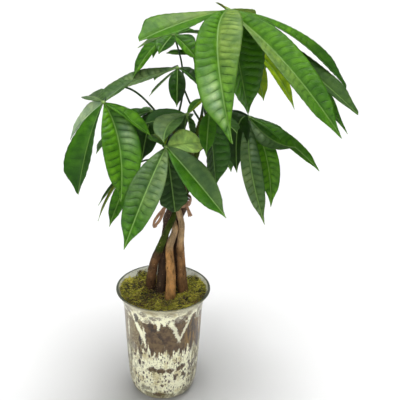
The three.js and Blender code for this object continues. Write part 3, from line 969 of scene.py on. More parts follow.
@dataclass
class GlassVase:
    """Flared tumbler vase with a thick floor, turned from its profile, whose rows are a radius and a height.

    The silvering's inner material is on the faces within silver_edge of the axis.
    """

    outside: tuple = ((31, 0), (36.5, 1.5), (41.5, 6), (45, 14), (47.3, 26), (49.8, 60), (51.8, 100),
                      (53, 128), (55, 143), (59, 153), (63.5, 159.2))
    inside: tuple = ((60.3, 159.2), (55.5, 152.5), (51.5, 143), (49.5, 128), (48.3, 100), (46.3, 60),
                     (43.8, 26), (41, 15), (35, 9))
    lip: tuple = ((63.35, 159.6), (63.0, 159.88), (62.6, 160), (61.3, 160), (60.8, 159.88), (60.45, 159.6))
    floor: float = 8
    foot_rows: tuple = ((0, 0), (16, 0))
    floor_rows: tuple = ((18, 8.5), (0, 8))
    silver_edge: float = 61.4
    seam_weld: float = 1e-3
    sides: int = 144
    finish: SilveringFinish = field(default_factory=SilveringFinish)

    def inner_radius(self, height: float) -> float:
        """Returns the radius of the inner wall.

        Args:
            height: The height.

        Returns:
            The radius there.
        """
        rows = [(z, r) for r, z in reversed(self.inside)]
        for (z0, r0), (z1, r1) in zip(rows, rows[1:]):
            if height <= z1:
                return mix(r0, r1, max(height - z0, 0) / (z1 - z0))
        return rows[-1][1]

    def smooth(self, rows: Sequence[tuple], steps: int = 5) -> list[tuple[float, float]]:
        """Returns points on a smooth curve through a profile's rows.

        Args:
            rows: Radius and height of each row.
            steps: Points for each row.

        Returns:
            Radius and height of each point.
        """
        counted = [(k, r, z) for k, (r, z) in enumerate(rows)]
        return [tuple(through(counted, k / steps)) for k in range((len(rows) - 1) * steps + 1)]

    def build(self) -> bpy.types.Object:
        """Turns the profile round the axis.

        Returns:
            The vase.
        """
        work = Work()
        bm = work.bm
        profile = [*self.foot_rows, *self.smooth(self.outside), *self.lip, *self.smooth(self.inside),
                   *self.floor_rows]
        line = [bm.verts.new((r, 0, z)) for r, z in profile]
        edges = [bm.edges.new(pair) for pair in zip(line, line[1:])]
        bmesh.ops.spin(bm, geom=line + edges, cent=(0, 0, 0), axis=UP, angle=TURN, steps=self.sides,
                       use_merge=True, use_duplicate=False)
        bmesh.ops.remove_doubles(bm, verts=bm.verts, dist=self.seam_weld)
        bmesh.ops.recalc_face_normals(bm, faces=bm.faces)
        for face in bm.faces:
            middle = face.calc_center_median()
            outward = face.normal.x * middle.x + face.normal.y * middle.y
            face.material_index = int(middle.z > self.floor - 1 and (outward < 0 or face.normal.z > 0.9)
                                      and math.hypot(middle.x, middle.y) < self.silver_edge)
        return work.finish("silvered_vase", "silvered_glass", [self.finish.outside(), self.finish.inside()],
                           ["glass_vase"])


@dataclass(frozen=True)
class Stem:
    """One stem: its foot's offsets by height, its turn in the plait, its top, and its bark by height."""

    foot: tuple
    turn: float
    top: tuple[float, float, float]
    bark: tuple[tuple[float, Bark], ...]

    def tint(self, height: float) -> tuple:
        """Returns the bark's colour.

        Args:
            height: The height.

        Returns:
            The linear colour and 1.
        """
        rows = self.bark
        for (z0, a), (z1, b) in zip(rows, rows[1:]):
            if height <= z1:
                return (*blend(linear(*a.value), linear(*b.value), ease(height, z0, z1)), 1.0)
        return (*linear(*rows[-1][1].value), 1.0)


@dataclass
class PlaitedStems:
    """Five stems that lean right as they rise, plaited in the middle and spread above the tie.

    A row of lean is a height and the middle line's place there, and a row of radii a height and a radius.
    """

    lean: tuple = ((100, 3.5, 0), (150, 6, 0), (200, 10, 0), (250, 13, 0), (300, 19.5, 0), (350, 32, -1),
                   (400, 45, -2))
    radii: tuple = ((100, 7.2), (150, 7.1), (175, 6.4), (200, 5.8), (225, 5.0), (250, 4.0), (300, 4.0),
                    (350, 3.6), (410, 3.0))
    root: float = 100
    plait_radius: float = 10.8
    plait_start: float = 250
    plait_end: float = 300
    plait_rate: float = 2.5
    plait_join: float = 12
    scar_gap: float = 37
    tip_taper: float = 0.3
    tip_length: float = 6
    around: int = 28
    step: float = 1.6
    stems: tuple[Stem, ...] = (
        Stem(((100, -21, 9), (150, -23, 9), (175, -23.6, 5), (200, -21.6, -2), (225, -15.5, -9)),
             42, (56, 18, 402),
             ((150, Bark.UMBER), (176, Bark.BROWN), (200, Bark.BROWN), (216, Bark.UMBER), (223, Bark.GREEN),
              (400, Bark.GREEN))),
        # Stem 2 stands at the back of the plait; its near-black bark is painted shade.
        Stem(((100, -8, -3), (150, -9.5, -1), (175, -10, 1), (200, -10, 4), (225, -9.8, 7)),
             330, (46, -8, 404),
             ((150, Bark.BLACK), (200, Bark.BLACK), (290, Bark.BLACK), (400, Bark.GREEN))),
        Stem(((100, 3, -17), (150, 2.8, -18), (175, 2.2, -16), (200, -0.8, -13), (225, -3.2, -9)),
             258, (19, -27, 376),
             ((150, Bark.TAN), (215, Bark.TAN), (232, Bark.SAND), (262, Bark.SAND), (300, Bark.UMBER),
              (380, Bark.GREEN))),
        Stem(((100, 19, -5), (150, 20.5, -4), (175, 17, -3.5), (200, 13.5, -3), (225, 11, -2.5)),
             186, (16, 18, 390),
             ((150, Bark.BROWN), (180, Bark.FAWN), (215, Bark.FAWN), (238, Bark.SAND), (270, Bark.SAND),
              (320, Bark.BROWN), (400, Bark.GREEN))),
        # Stem 5 stands at the back of the plait; its near-black bark is painted shade.
        Stem(((100, 9, 15), (150, 10, 16), (175, 9, 15), (200, 8, 13), (225, 6.5, 11)),
             114, (37, -26, 388),
             ((150, Bark.UMBER), (240, Bark.BLACK), (300, Bark.UMBER), (390, Bark.GREEN))),
    )

    def offset(self, stem: Stem, z: float) -> tuple[float, float]:
        """Returns a stem's offset from the middle line in the plait."""
        turn = math.radians(stem.turn + self.plait_rate * (z - self.plait_start))
        return -self.plait_radius * math.cos(turn), -self.plait_radius * math.sin(2 * turn)

    def middle(self, stem: Stem, z: float) -> Vector:
        """Returns the middle of a stem at a height.

        Args:
            stem: The stem.
            z: The height.

        Returns:
            The point.
        """
        mx, my = through(self.lean, z)
        if z <= self.plait_start:
            starts = (self.plait_start, self.plait_start + self.plait_join)
            x, y = through([*stem.foot, *((at, *self.offset(stem, at)) for at in starts)], z)
            return Vector((mx + x, my + y, z))
        px, py = self.offset(stem, min(z, self.plait_end))
        if z <= self.plait_end:
            return Vector((mx + px, my + py, z))
        tx, ty, tz = stem.top
        s = (z - self.plait_end) / (tz - self.plait_end)
        mtx, mty = through(self.lean, tz)
        w = s * (1.6 - 0.6 * s)
        return Vector((mx + mix(px, tx - mtx, w), my + mix(py, ty - mty, w), z))

    def radius(self, z: float) -> float:
        """Returns the radius of a stem at a height."""
        return through(self.radii, z)[0]

    def build_stem(self, number: int, material: bpy.types.Material) -> bpy.types.Object:
        """Builds one stem, with swellings where old leaves left it.

        Args:
            number: The stem's place in the list.
            material: The bark.

        Returns:
            The stem.
        """
        stem = self.stems[number]
        top = stem.top[2]
        count = round((top - self.root) / self.step)
        heights = [mix(self.root, top, k / count) for k in range(count + 1)]
        radii = [self.radius(z) * (1 - self.tip_taper * ease(z, top - self.tip_length, top)) for z in heights]
        rings = rings_along([self.middle(stem, z) for z in heights], radii)

        def swell(ring: Ring, angle: float) -> float:
            """Returns what the bark's relief multiplies the radius by.

            Args:
                ring: The ring.
                angle: The angle round it.

            Returns:
                The factor.
            """
            z = ring.middle.z
            broad = uneven(*polar(1.3, angle), z * 0.035 + 17 * number)
            ridges = uneven(*polar(3.4, angle), z * 0.05 + 31 * number)
            lumps = uneven(*ring.point(angle) * 0.32)
            scar = max(0.0, math.cos((z + 13 * number) * TURN / self.scar_gap)) ** 18
            return 1 + 0.07 * broad + 0.05 * ridges + 0.035 * lumps + 0.06 * scar

        work = Work()
        work.bar(rings, self.around, lambda ring: stem.tint(ring.middle.z), swell)
        return work.finish(f"bark_stem_{number + 1}", "bark", [material], [f"stem_{number + 1}"])

    def build(self) -> list[bpy.types.Object]:
        """Builds the five stems."""
        material = BarkFinish().material()
        return [self.build_stem(number, material) for number in range(len(self.stems))]


@dataclass
class PottingSoil:
    """The soil below the moss, whose shape is the CAD node's own."""

    node: str = "soil"

    def dress(self) -> None:
        """Gives the CAD node the soil's finish."""
        piece = bpy.data.objects[self.node]
        material = SoilFinish().material()
        if piece.material_slots:
            for slot in piece.material_slots:
                slot.material = material
        else:
            piece.data.materials.append(material)
        LOG.info("%s: dressed", self.node)


@dataclass
class MossBed:
    """Sheet moss in low mounds up to the lip, with threads that stand out of it.

    A mound is its place, rise and spread, and a bright patch its place and spread. A roof is as high as
    anything may stand, and a gap is how far it keeps from the glass or from a stem's middle.
    """

    vase: GlassVase
    stems: PlaitedStems
    base: float = 138.6
    middle_top: float = 154
    roof: float = 158
    mat_roof: float = 158.4
    thread_roof: float = 160.5
    lip_roof: float = 158.2
    lip_start: float = 54
    wall_gap: float = 0.7
    root_gap: float = 1.6
    thread_gap: float = 1.1
    stem_gap: float = 7.4
    skirt: float = 1.0
    faces_round: int = 150
    faces_out: int = 75
    reach: float = 56
    crest: float = 0.92
    body: float = 0.62
    hollow: float = 0.3
    mounds: tuple = ((42, -14, 5, 16), (40, 14, 5, 12), (-42, -14, 5, 15), (-38, 18, 5, 13), (0, -46, 4, 14),
                     (-24, -40, 4, 12), (26, -40, 4, 12), (2, 40, 2, 12), (-50, 2, 4, 11), (52, 0, 4, 11),
                     (0, -57, 3, 13), (-30, -48, 3, 13), (30, -48, 3, 13), (44, 26, 6, 12), (-29, 43, 12, 8),
                     (-50, 24, 6, 12), (-57, 6, 4, 9), (57, 6, 4, 9))
    bright: tuple = ((46, -8, 19), (40, 20, 18), (-46, -12, 14), (-50, 14, 13), (-32, 38, 11), (20, -46, 13),
                     (-10, -48, 12), (20, -20, 9))
    threads: int = 5600
    seed: int = 11
    yellow: Colour = linear(255, 250, 110)
    green: Colour = linear(196, 200, 60)
    deep: Colour = linear(96, 104, 34)
    brown: Colour = linear(168, 132, 84)
    straw: Colour = linear(214, 184, 128)
    # Painted shade: the near-black of threads deep in the gaps between clumps.
    gap: Colour = linear(44, 32, 16)

    def height(self, x: float, y: float) -> float:
        """Returns the height of the moss.

        Args:
            x: The place to read.
            y: The place to read.

        Returns:
            The height there.
        """
        h = self.middle_top - 7 * ease(y, 12, 46)
        for mx, my, rise, spread in self.mounds:
            h += rise * hump(x, y, mx, my, spread)
        h += 0.9 * math.sin(x * 0.55 + 1) * math.cos(y * 0.5)
        return min(h, self.roof)

    def rough(self, x: float, y: float) -> float:
        """Returns the height with the lumps and hollows of the mat."""
        lumps = uneven(x * 0.13, y * 0.13, 3) * 2.2 + uneven(x * 0.3, y * 0.3, 7) * 2.4
        return self.height(x, y) + lumps - 1.6

    def brightness(self, x: float, y: float) -> float:
        """Returns how yellow-green the moss is at a point, from 0 to 1."""
        return min(1.0, sum(hump(x, y, *patch) for patch in self.bright))

    def shade(self, x: float, y: float, pick: float) -> Colour:
        """Returns the colour of a thread.

        Args:
            x: Where it grows.
            y: Where it grows.
            pick: A random number from 0 to 1.

        Returns:
            The linear colour.
        """
        lit = self.brightness(x, y)
        clump = uneven(x * 0.22, y * 0.22, 5) * 2.3 + uneven(x * 0.09, y * 0.09, 8)
        level = pick * 0.55 + 0.3 + 0.6 * clump + 0.3 * lit
        # The level sets how light a thread is: the yellow above the crest is partly the moss's own colour and
        # partly a painted highlight, and the fade to near black at the bottom is painted shade in the gaps
        # between clumps.
        if level > self.crest:
            return blend(self.green, self.yellow, min(1.0, (level - self.crest) * 5))
        if level > self.body:
            return blend(self.green, self.brown, (1 - lit) * 0.7 * ease(pick, 0.3, 0.9))
        if level > self.hollow:
            return blend(self.deep, self.brown, 0.2 + 0.6 * (1 - lit))
        return self.straw if pick > 0.96 else blend(self.gap, self.deep, ease(level, -0.2, self.hollow))

    def mat(self, work: Work) -> None:
        """Adds the mat, closed below. The stems stand through it.

        Args:
            work: The piece.
        """
        edge = self.vase.inner_radius(155) - self.skirt
        top_share, skirt_share = 0.8, 0.92

        def spot(u: float, v: float) -> Spot:
            """Returns a point of the mat: its top, its skirt and its under side in turn.

            Args:
                u: Share round it.
                v: Share from the middle of the top to the middle of the under side.

            Returns:
                The point, with its tint.
            """
            angle = TURN * u
            reach = min(edge * v / top_share, edge)
            top = min(self.rough(*polar(reach, angle)), self.mat_roof)
            if v <= top_share:
                z = top - self.skirt * ease(reach, edge - 3, edge)
                reach = min(reach, self.vase.inner_radius(z) - self.wall_gap)
            elif v <= skirt_share:
                z = mix(top - self.skirt, self.base, (v - top_share) / (skirt_share - top_share))
                reach = self.vase.inner_radius(z) - self.wall_gap
            else:
                z = self.base
                reach = (self.vase.inner_radius(z) - self.wall_gap) * (1 - v) / (1 - skirt_share)
            x, y = polar(reach, angle)
            lit = self.brightness(x, y)
            ground = blend(self.deep, self.brown, 0.5 + 0.5 * uneven(x * 0.4, y * 0.4, 19))
            return Spot(Vector((x, y, z)), (*blend(ground, self.green, lit * 0.7), 1.0))

        made = work.grid(self.faces_round, self.faces_out, spot)
        bmesh.ops.remove_doubles(work.bm, verts=made, dist=WELD)

    def thread_run(self, rng: random.Random) -> tuple[list[Vector], list[float], Colour]:
        """Grows one curled thread.

        Args:
            rng: The random numbers.

        Returns:
            Its points, its radii and its colour.
        """
        while True:
            angle, reach = rng.uniform(0, TURN), self.reach * math.sqrt(rng.random())
            x, y = polar(reach, angle)
            z = self.rough(x, y)
            near = min((self.stems.middle(stem, self.middle_top).xy - Vector((x, y))).length
                       for stem in self.stems.stems)
            if near > self.stem_gap and reach < self.vase.inner_radius(z) - self.root_gap:
                break
        heading = rng.uniform(0, TURN)
        climb = rng.uniform(0.15, 1.1)
        curl = rng.uniform(-0.9, 0.9)
        length = rng.uniform(1.4, 3.0)
        point = Vector((x, y, z - 1.4))
        points, radii = [], []
        thick = rng.uniform(0.38, 0.78)
        for taper in (1, 1.1, 0.95, 0.7, 0.25):
            points.append(point.copy())
            radii.append(thick * taper)
            point = point + Vector((*polar(1, heading), climb)).normalized() * length
            heading += curl
            climb -= rng.uniform(0.1, 0.6)
            point.z = min(point.z, self.thread_roof if point.xy.length < self.lip_start else self.lip_roof)
            limit = self.vase.inner_radius(min(point.z, 159)) - self.thread_gap
            if point.xy.length > limit:
                point.xy = point.xy.normalized() * limit
        return points, radii, self.shade(x, y, rng.random())

    def fluff(self, work: Work) -> None:
        """Adds the threads, all cut from one grid, three faces round and closed at both ends.

        Args:
            work: The piece.
        """
        rng = random.Random(self.seed)
        runs = []
        for _ in range(self.threads):
            points, radii, colour = self.thread_run(rng)
            runs.append((rings_along(points, radii), colour))
        columns = 4 * self.threads - 1

        def spot(u: float, v: float) -> Spot:
            """Returns a point of a thread.

            Args:
                u: Share across all the threads, which have four columns each.
                v: Share along the thread.

            Returns:
                The point, with its tint and the thread's number.
            """
            column = round(u * columns)
            rings, colour = runs[column // 4]
            ring = rings[round(v * (len(rings) - 1))]
            root = 0.5 + 0.5 * ring.share
            return Spot(ring.point(TURN * (column % 4) / 3), (*(c * root for c in colour), 1.0),
                        (column // 4, 0, 0))

        made = work.grid(columns, len(runs[0][0]) - 1, spot)
        gaps = [face for face in {f for vert in made for f in vert.link_faces}
                if len({round(vert[work.vein][0]) for vert in face.verts}) > 1]
        bmesh.ops.delete(work.bm, geom=gaps, context="FACES_ONLY")
        loose = [edge for vert in made if vert.is_valid for edge in vert.link_edges if not edge.link_faces]
        bmesh.ops.delete(work.bm, geom=list(set(loose)), context="EDGES")
        bmesh.ops.remove_doubles(work.bm, verts=[v for v in made if v.is_valid], dist=WELD)

    def build(self) -> bpy.types.Object:
        """Builds the mat and its threads.

        Returns:
            The bed.
        """
        work = Work()
        self.mat(work)
        self.fluff(work)
        return work.finish("moss_bed", "moss", [MossFinish().material()], ["moss"])


@dataclass(frozen=True)
class Strip:
    """A raffia strip: points from the tie's middle, the width at each, and the way that it faces."""

    path: tuple[tuple[float, float, float], ...]
    widths: tuple[float, ...]
    facing: tuple[float, float, float]


@dataclass
class RaffiaTie:
    """Raffia round the top of the plait, with a knot, a folded loop on the left and an end on the right.

    A turn is its lift from the tie's middle, its width and its radius.
    """

    stems: PlaitedStems
    height: float = 288
    thickness: float = 0.5
    turn_faces: tuple[int, int] = (6, 96)
    strip_faces: tuple[int, int] = (8, 40)
    knot_half: float = 6
    knot_front: float = -19.2
    knot_radius: float = 2.6
    knot_steps: int = 10
    knot_sides: int = 14
    turns: tuple = ((-2.2, 3.0, 18.0), (0.3, 3.4, 18.5), (2.4, 2.8, 18.1))
    strips: tuple[Strip, ...] = (
        Strip(((-12.5, -14.6, 2), (-16, -16.2, -4), (-18.5, -17.6, -11), (-22.5, -18.6, -20),
               (-28.5, -19, -28)),
              (3.6, 3.8, 4.0, 4.2, 3.6), (0.3, -1, 0.1)),
        Strip(((-12.5, -14.9, 1), (-18.5, -16.6, -6), (-24, -18.2, -13), (-28.5, -18.9, -20),
               (-30.2, -19.3, -27)),
              (3.4, 3.6, 3.8, 3.8, 3.4), (0.3, -1, 0.1)),
        Strip(((-26.2, -18.6, -26.5), (-28, -19.2, -28), (-30.5, -19.6, -28.6)),
              (3.0, 3.2, 2.4), (0.2, -1, 0.3)),
        Strip(((11.0, -15.1, 2), (13.2, -16, -4), (14.6, -16.3, -9), (16.4, -16.5, -15)),
              (3.6, 3.8, 4.2, 5.2), (-0.3, -1, 0.1)),
        Strip(((11.6, -15.9, 1), (14.4, -16.8, -5), (16.6, -17.0, -10), (18.0, -17.1, -14)),
              (2.0, 2.0, 2.2, 2.6), (-0.4, -1, 0.1)),
    )

    def middle(self) -> Vector:
        """Returns the middle of the tie."""
        x, y = through(self.stems.lean, self.height)
        return Vector((x, y, self.height))

    def wind(self, work: Work, lift: float, width: float, radius: float) -> None:
        """Adds one turn of the winding.

        Args:
            work: The piece.
            lift: Its height from the tie's middle.
            width: Its width.
            radius: Its radius.
        """
        centre = self.middle()

        def spot(u: float, v: float) -> Spot:
            """Returns a point of the turn.

            Args:
                u: Share across the strip.
                v: Share round the turn.

            Returns:
                The point.
            """
            angle = TURN * v
            tilt = 0.7 * math.sin(angle + lift) + 0.25 * math.sin(3 * angle)
            crown = 0.35 * math.cos(math.pi * (u - 0.5))
            swell = radius + crown + 0.12 * math.sin(7 * angle + 3 * lift)
            return Spot(centre + Vector((*polar(swell, angle), lift + tilt - (u - 0.5) * width)))

        made = work.grid(*self.turn_faces, spot)
        bmesh.ops.remove_doubles(work.bm, verts=made, dist=WELD)
        work.thicken([vert for vert in made if vert.is_valid], self.thickness)

    def lay(self, work: Work, strip: Strip) -> None:
        """Adds one loose strip, curled a little across its width.

        Args:
            work: The piece.
            strip: The strip.
        """
        centre = self.middle()
        rows = [(k, *point, width) for k, (point, width) in enumerate(zip(strip.path, strip.widths))]
        facing = Vector(strip.facing).normalized()

        def spot(u: float, v: float) -> Spot:
            """Returns a point of the strip.

            Args:
                u: Share across it.
                v: Share along it.

            Returns:
                The point.
            """
            at = v * (len(rows) - 1)
            x, y, z, width = through(rows, at)
            ahead, behind = through(rows, min(at + 0.1, len(rows) - 1)), through(rows, max(at - 0.1, 0))
            along = (Vector(ahead[:3]) - Vector(behind[:3])).normalized()
            across = along.cross(facing).normalized()
            curl = facing * (0.35 * width * (0.25 - (u - 0.5) ** 2) + 0.3 * math.sin(5 * v + 9 * u))
            fray = 0.7 * math.sin(37 * u) * ease(v, 0.9, 1.0)
            return Spot(centre + Vector((x, y, z)) + across * ((u - 0.5) * width) + curl + along * fray)

        work.thicken(work.grid(*self.strip_faces, spot), self.thickness)

    def knot(self, work: Work) -> None:
        """Adds the knot at the front, a short bar that is thickest in the middle.

        Args:
            work: The piece.
        """
        centre = self.middle()
        points, radii = [], []
        for k in range(self.knot_steps + 1):
            share = k / self.knot_steps
            turn = math.pi * share
            x, y = mix(-self.knot_half, self.knot_half, share), self.knot_front - 1.1 * math.sin(turn)
            points.append(centre + Vector((x, y, 0.6 * math.sin(k))))
            radii.append(self.knot_radius - 1.2 * abs(math.cos(turn)))
        work.bar(rings_along(points, radii), self.knot_sides, lambda ring: (1, 1, 1, 1),
                 lambda ring, angle: 0.85 + 0.12 * math.sin(5 * angle + 9 * ring.share))

    def build(self) -> bpy.types.Object:
        """Builds the turns, the strips and the knot.

        Returns:
            The tie.
        """
        work = Work()
        for lift, width, radius in self.turns:
            self.wind(work, lift, width, radius)
        for strip in self.strips:
            self.lay(work, strip)
        self.knot(work)
        return work.finish("raffia_winding", "raffia", [RaffiaFinish().material()], ["raffia_tie"])


@dataclass(frozen=True)
class Blade:
    """A leaflet: its run from hub to tip, its width, the tones of its halves and tip, and its form.

    Right and left are as seen looking out from the hub. The left half takes the right one's tone where it
    has none, and the tip's tone starts past the middle. Roll and fold are in degrees, and arch and bow are
    shares of the length. A peak is where along it a half is widest, and puff is how strongly it is quilted.
    A gleam is a painted highlight, a silvery patch of reflected light: where it is across, from -1 to 1, and
    along, and its strength.
    """

    x: float
    y: float
    z: float
    width: float
    right: Tone = Tone.MID
    left: Tone | None = None
    tip: Tone | None = None
    roll: float = 0
    arch: float = 0.1
    bow: float = 0
    fold: float = 18
    right_peak: float = 0.55
    left_peak: float | None = None
    puff: float = 1
    gleam: tuple[float, float, float] | None = None


@dataclass(frozen=True)
class Leaf:
    """A palmate leaf: its stem, where its stalk leaves it, where the stalk bends to, its hub and leaflets."""

    stem: int
    start: float
    via: tuple[float, float, float]
    hub: tuple[float, float, float]
    blades: tuple[Blade, ...]
    stalk: Tone = Tone.DARK


FRESH, MID, DEEP, DARK, SHEEN, LIME, OLIVE, DULL, SATIN, SILVER, BUFF = Tone
LEAVES = (
    Leaf(1, 404, (60, 20, 520), (70, -40, 535), (
        Blade(-96, -45, -26, 40, SATIN, FRESH, FRESH, roll=20, arch=0.06, right_peak=0.8, left_peak=0.6,
              puff=0.3),
        Blade(-100, 10, -45, 26, DULL, roll=15, arch=0.03, puff=0.5),
        Blade(1, -110, -117, 55, FRESH, SATIN, FRESH, arch=0.34, bow=0.18, right_peak=0.66, left_peak=0.36,
              gleam=(0.45, 0.8, 0.7)),
        Blade(26, -25, -112, 70, MID, arch=0.12, bow=0.02, right_peak=0.6, left_peak=0.5),
        Blade(119, -90, -117, 44, SATIN, FRESH, MID, roll=-25, arch=0.12, fold=24, right_peak=0.68,
              left_peak=0.5, puff=0.6),
        Blade(143, 5, -88, 32, MID, FRESH, DEEP, roll=-20, arch=0.21, right_peak=0.78, puff=0.5),
        Blade(143, -22, -135, 38, DEEP, DARK, MID, roll=-30, arch=0.12),
        Blade(151, -28, -110, 34, DARK, tip=SHEEN, roll=-25, arch=0.06, right_peak=0.76, puff=0.5),
        Blade(31, 67, -26, 36, LIME, puff=0.4),
        Blade(-13, 2, 8, 6, OLIVE, arch=0)), FRESH),
    Leaf(2, 372, (-45, -5, 472), (-65, -90, 443), (
        Blade(30, 40, 15, 30, SHEEN, roll=10, arch=0.03, puff=0.6),
        Blade(-25, 70, -14, 26, SHEEN, DULL, roll=20, arch=0.08),
        Blade(-43, 35, -55, 30, SILVER, roll=40, arch=0.12, puff=0.2),
        Blade(-27, -40, -91, 46.8, MID, DEEP, DEEP, roll=-15, arch=0.15, bow=0.05, fold=24, right_peak=0.68,
              puff=0.45),
        Blade(19, -45, -97, 46, FRESH, MID, FRESH, arch=0.15, bow=-0.15, puff=1.25,
              gleam=(-0.5, 0.42, 0.5)),
        Blade(52, -5, -37, 26, FRESH, roll=-10, arch=0.08, puff=0.6))),
    Leaf(2, 374, (8, -80, 415), (3, -110, 400), (
        Blade(-43, -90, -78, 37, SHEEN, DULL, MID, roll=15, arch=0.12, bow=-0.02, puff=0.9),
        Blade(63, -55, -59, 36, MID, SHEEN, roll=-20, arch=0.03, left_peak=0.45, puff=0.35),
        Blade(42, 30, -6, 34, BUFF, roll=-35, arch=0.05, puff=0.35),
        Blade(-16, 50, -3, 22, LIME, FRESH, roll=10, arch=0.05),
        # This leaflet hangs in the leaf's shadow, and its DARK tone paints that shade into its colour as well
        # as its own dark green.
        Blade(10, -6, -75, 33, DARK, roll=-52, arch=0.03, right_peak=0.8))),
    Leaf(1, 396, (28, -12, 420), (16, -10, 462), (
        Blade(-100, 15, -41, 30, DULL, roll=20, arch=0.04),
        Blade(-1, -35, -36, 21, DEEP, DARK, arch=0.15),
        Blade(34, -8, -30, 24, DEEP, DARK, roll=-10, arch=0.25),
        Blade(-34, 15, -38, 8, SHEEN, DULL, roll=-10, arch=0.03, puff=0.2),
        Blade(-28, 60, -30, 30, DEEP))),
    Leaf(3, 390, (34, 30, 440), (11, 20, 495), (
        Blade(-48, -20, -48, 22, MID, FRESH, roll=20, arch=0.3),
        Blade(-25, 30, -35, 22, FRESH, MID, roll=10, arch=0.15),
        Blade(-17, -30, -16, 24, MID, DEEP, roll=10),
        Blade(29, -12, -27, 28, FRESH, MID, roll=-20),
        Blade(40, 45, -8, 30, MID))),
    Leaf(1, 388, (80, -15, 425), (102, -20, 406), (
        Blade(80, -50, -49, 18, MID, tip=FRESH, roll=-20, arch=0.12, right_peak=0.62, puff=0.4),
        Blade(50, -50, -20, 36, SHEEN, MID, roll=-25, arch=-0.25, puff=0.8, gleam=(0.35, 0.3, 0.3)),
        Blade(25, -55, -93, 28, FRESH, roll=-15, bow=-0.15),
        Blade(15, -80, -104, 26, DULL, SHEEN, roll=-5, bow=0.12, gleam=(-0.35, 0.35, 0.4)),
        Blade(-14, -24, -62, 38, DARK, arch=0.6, bow=0.22, puff=0.6),
        Blade(50, 55, -50, 34, MID, DEEP))),
    Leaf(4, 384, (32, -55, 412), (26, -70, 424), (
        Blade(-49, -5, -10, 28, DEEP, DARK, roll=20, arch=0.05, puff=0.4),
        Blade(-26, -50, -15, 32, DULL, SHEEN, arch=0.12, bow=0.25, puff=0.5),
        Blade(19, 30, 11, 12, LIME, FRESH, arch=0.03, puff=0.5),
        Blade(5, 2, -24, 24, DARK),
        Blade(-5, 2, -32, 28, DARK, roll=-10),
        Blade(-8, 45, -30, 28, DEEP))),
    Leaf(4, 370, (52, -55, 405), (50, -90, 433), (
        Blade(-5, -40, -35, 20, MID, arch=0.2, puff=0.6),
        Blade(9, -8, -84, 46, DARK, DEEP, arch=0.05),
        Blade(35, 35, -35, 28, DEEP),
        Blade(12, 45, -72, 26, DARK))),
    Leaf(3, 330, (-15, -10, 355), (-35, -30, 347), (
        Blade(-46, 0, -53, 9, DARK, roll=20, puff=0.2),
        Blade(-44, -30, -60, 6, OLIVE, bow=0.15, puff=0.2),
        Blade(-29, -45, -60, 20, MID, roll=15),
        Blade(-20, 50, -40, 34, DEEP))),
    Leaf(3, 378, (0, 22, 405), (-15, 20, 400), (
        Blade(-50, 0, -21, 24, DEEP, roll=20),
        Blade(-12, -30, -54, 38, DARK),
        Blade(22, -20, -50, 28, DARK, DEEP),
        Blade(-40, 55, -30, 34, MID, DEEP))),
    Leaf(0, 402, (90, 25, 450), (105, 30, 476), (
        Blade(61, 0, -75, 21, LIME, roll=-45, arch=0.28, puff=0.2),
        Blade(21, 0, -64, 24, LIME, roll=-60, puff=0.2),
        Blade(-15, 45, -50, 34, MID),
        Blade(-50, 15, -45, 32, MID, DEEP))),
    Leaf(0, 390, (44, 32, 432), (36, 40, 468), (
        Blade(-33, -5, 2, 10, MID, FRESH, roll=30, arch=0.03),
        Blade(-12, 42, 16, 20, DEEP),
        Blade(26, -14, -20, 22, MID))),
    Leaf(0, 388, (50, 60, 440), (50, 85, 458), (
        Blade(20, 50, -78, 36, MID, FRESH),
        Blade(20, 85, -60, 40, FRESH, MID, arch=0.15),
        Blade(55, 50, -65, 40, MID, DEEP, arch=0.15),
        Blade(55, -10, -60, 34, DEEP, MID, arch=0.15))),
    Leaf(0, 380, (105, 55, 430), (130, 75, 468), (
        Blade(65, 35, -60, 40, MID, FRESH, arch=0.15),
        Blade(40, 85, -60, 44, FRESH, MID, arch=0.15),
        Blade(-10, 85, -75, 40, MID, SHEEN),
        Blade(60, -15, -65, 32, MID, arch=0.15))),
    Leaf(3, 372, (-20, 60, 390), (-35, 90, 370), (
        Blade(-60, 20, -60, 38, MID, DEEP, arch=0.15),
        Blade(-45, 70, -65, 42, FRESH, MID, arch=0.15),
        Blade(15, 80, -75, 42, MID, SHEEN, arch=0.15))),
    Leaf(0, 366, (55, 70, 380), (55, 100, 350), (
        Blade(-25, 50, -80, 38, MID, DEEP, arch=0.15),
        Blade(45, 45, -80, 42, DEEP, MID, arch=0.15),
        Blade(65, -5, -60, 36, MID, arch=0.15))),
)


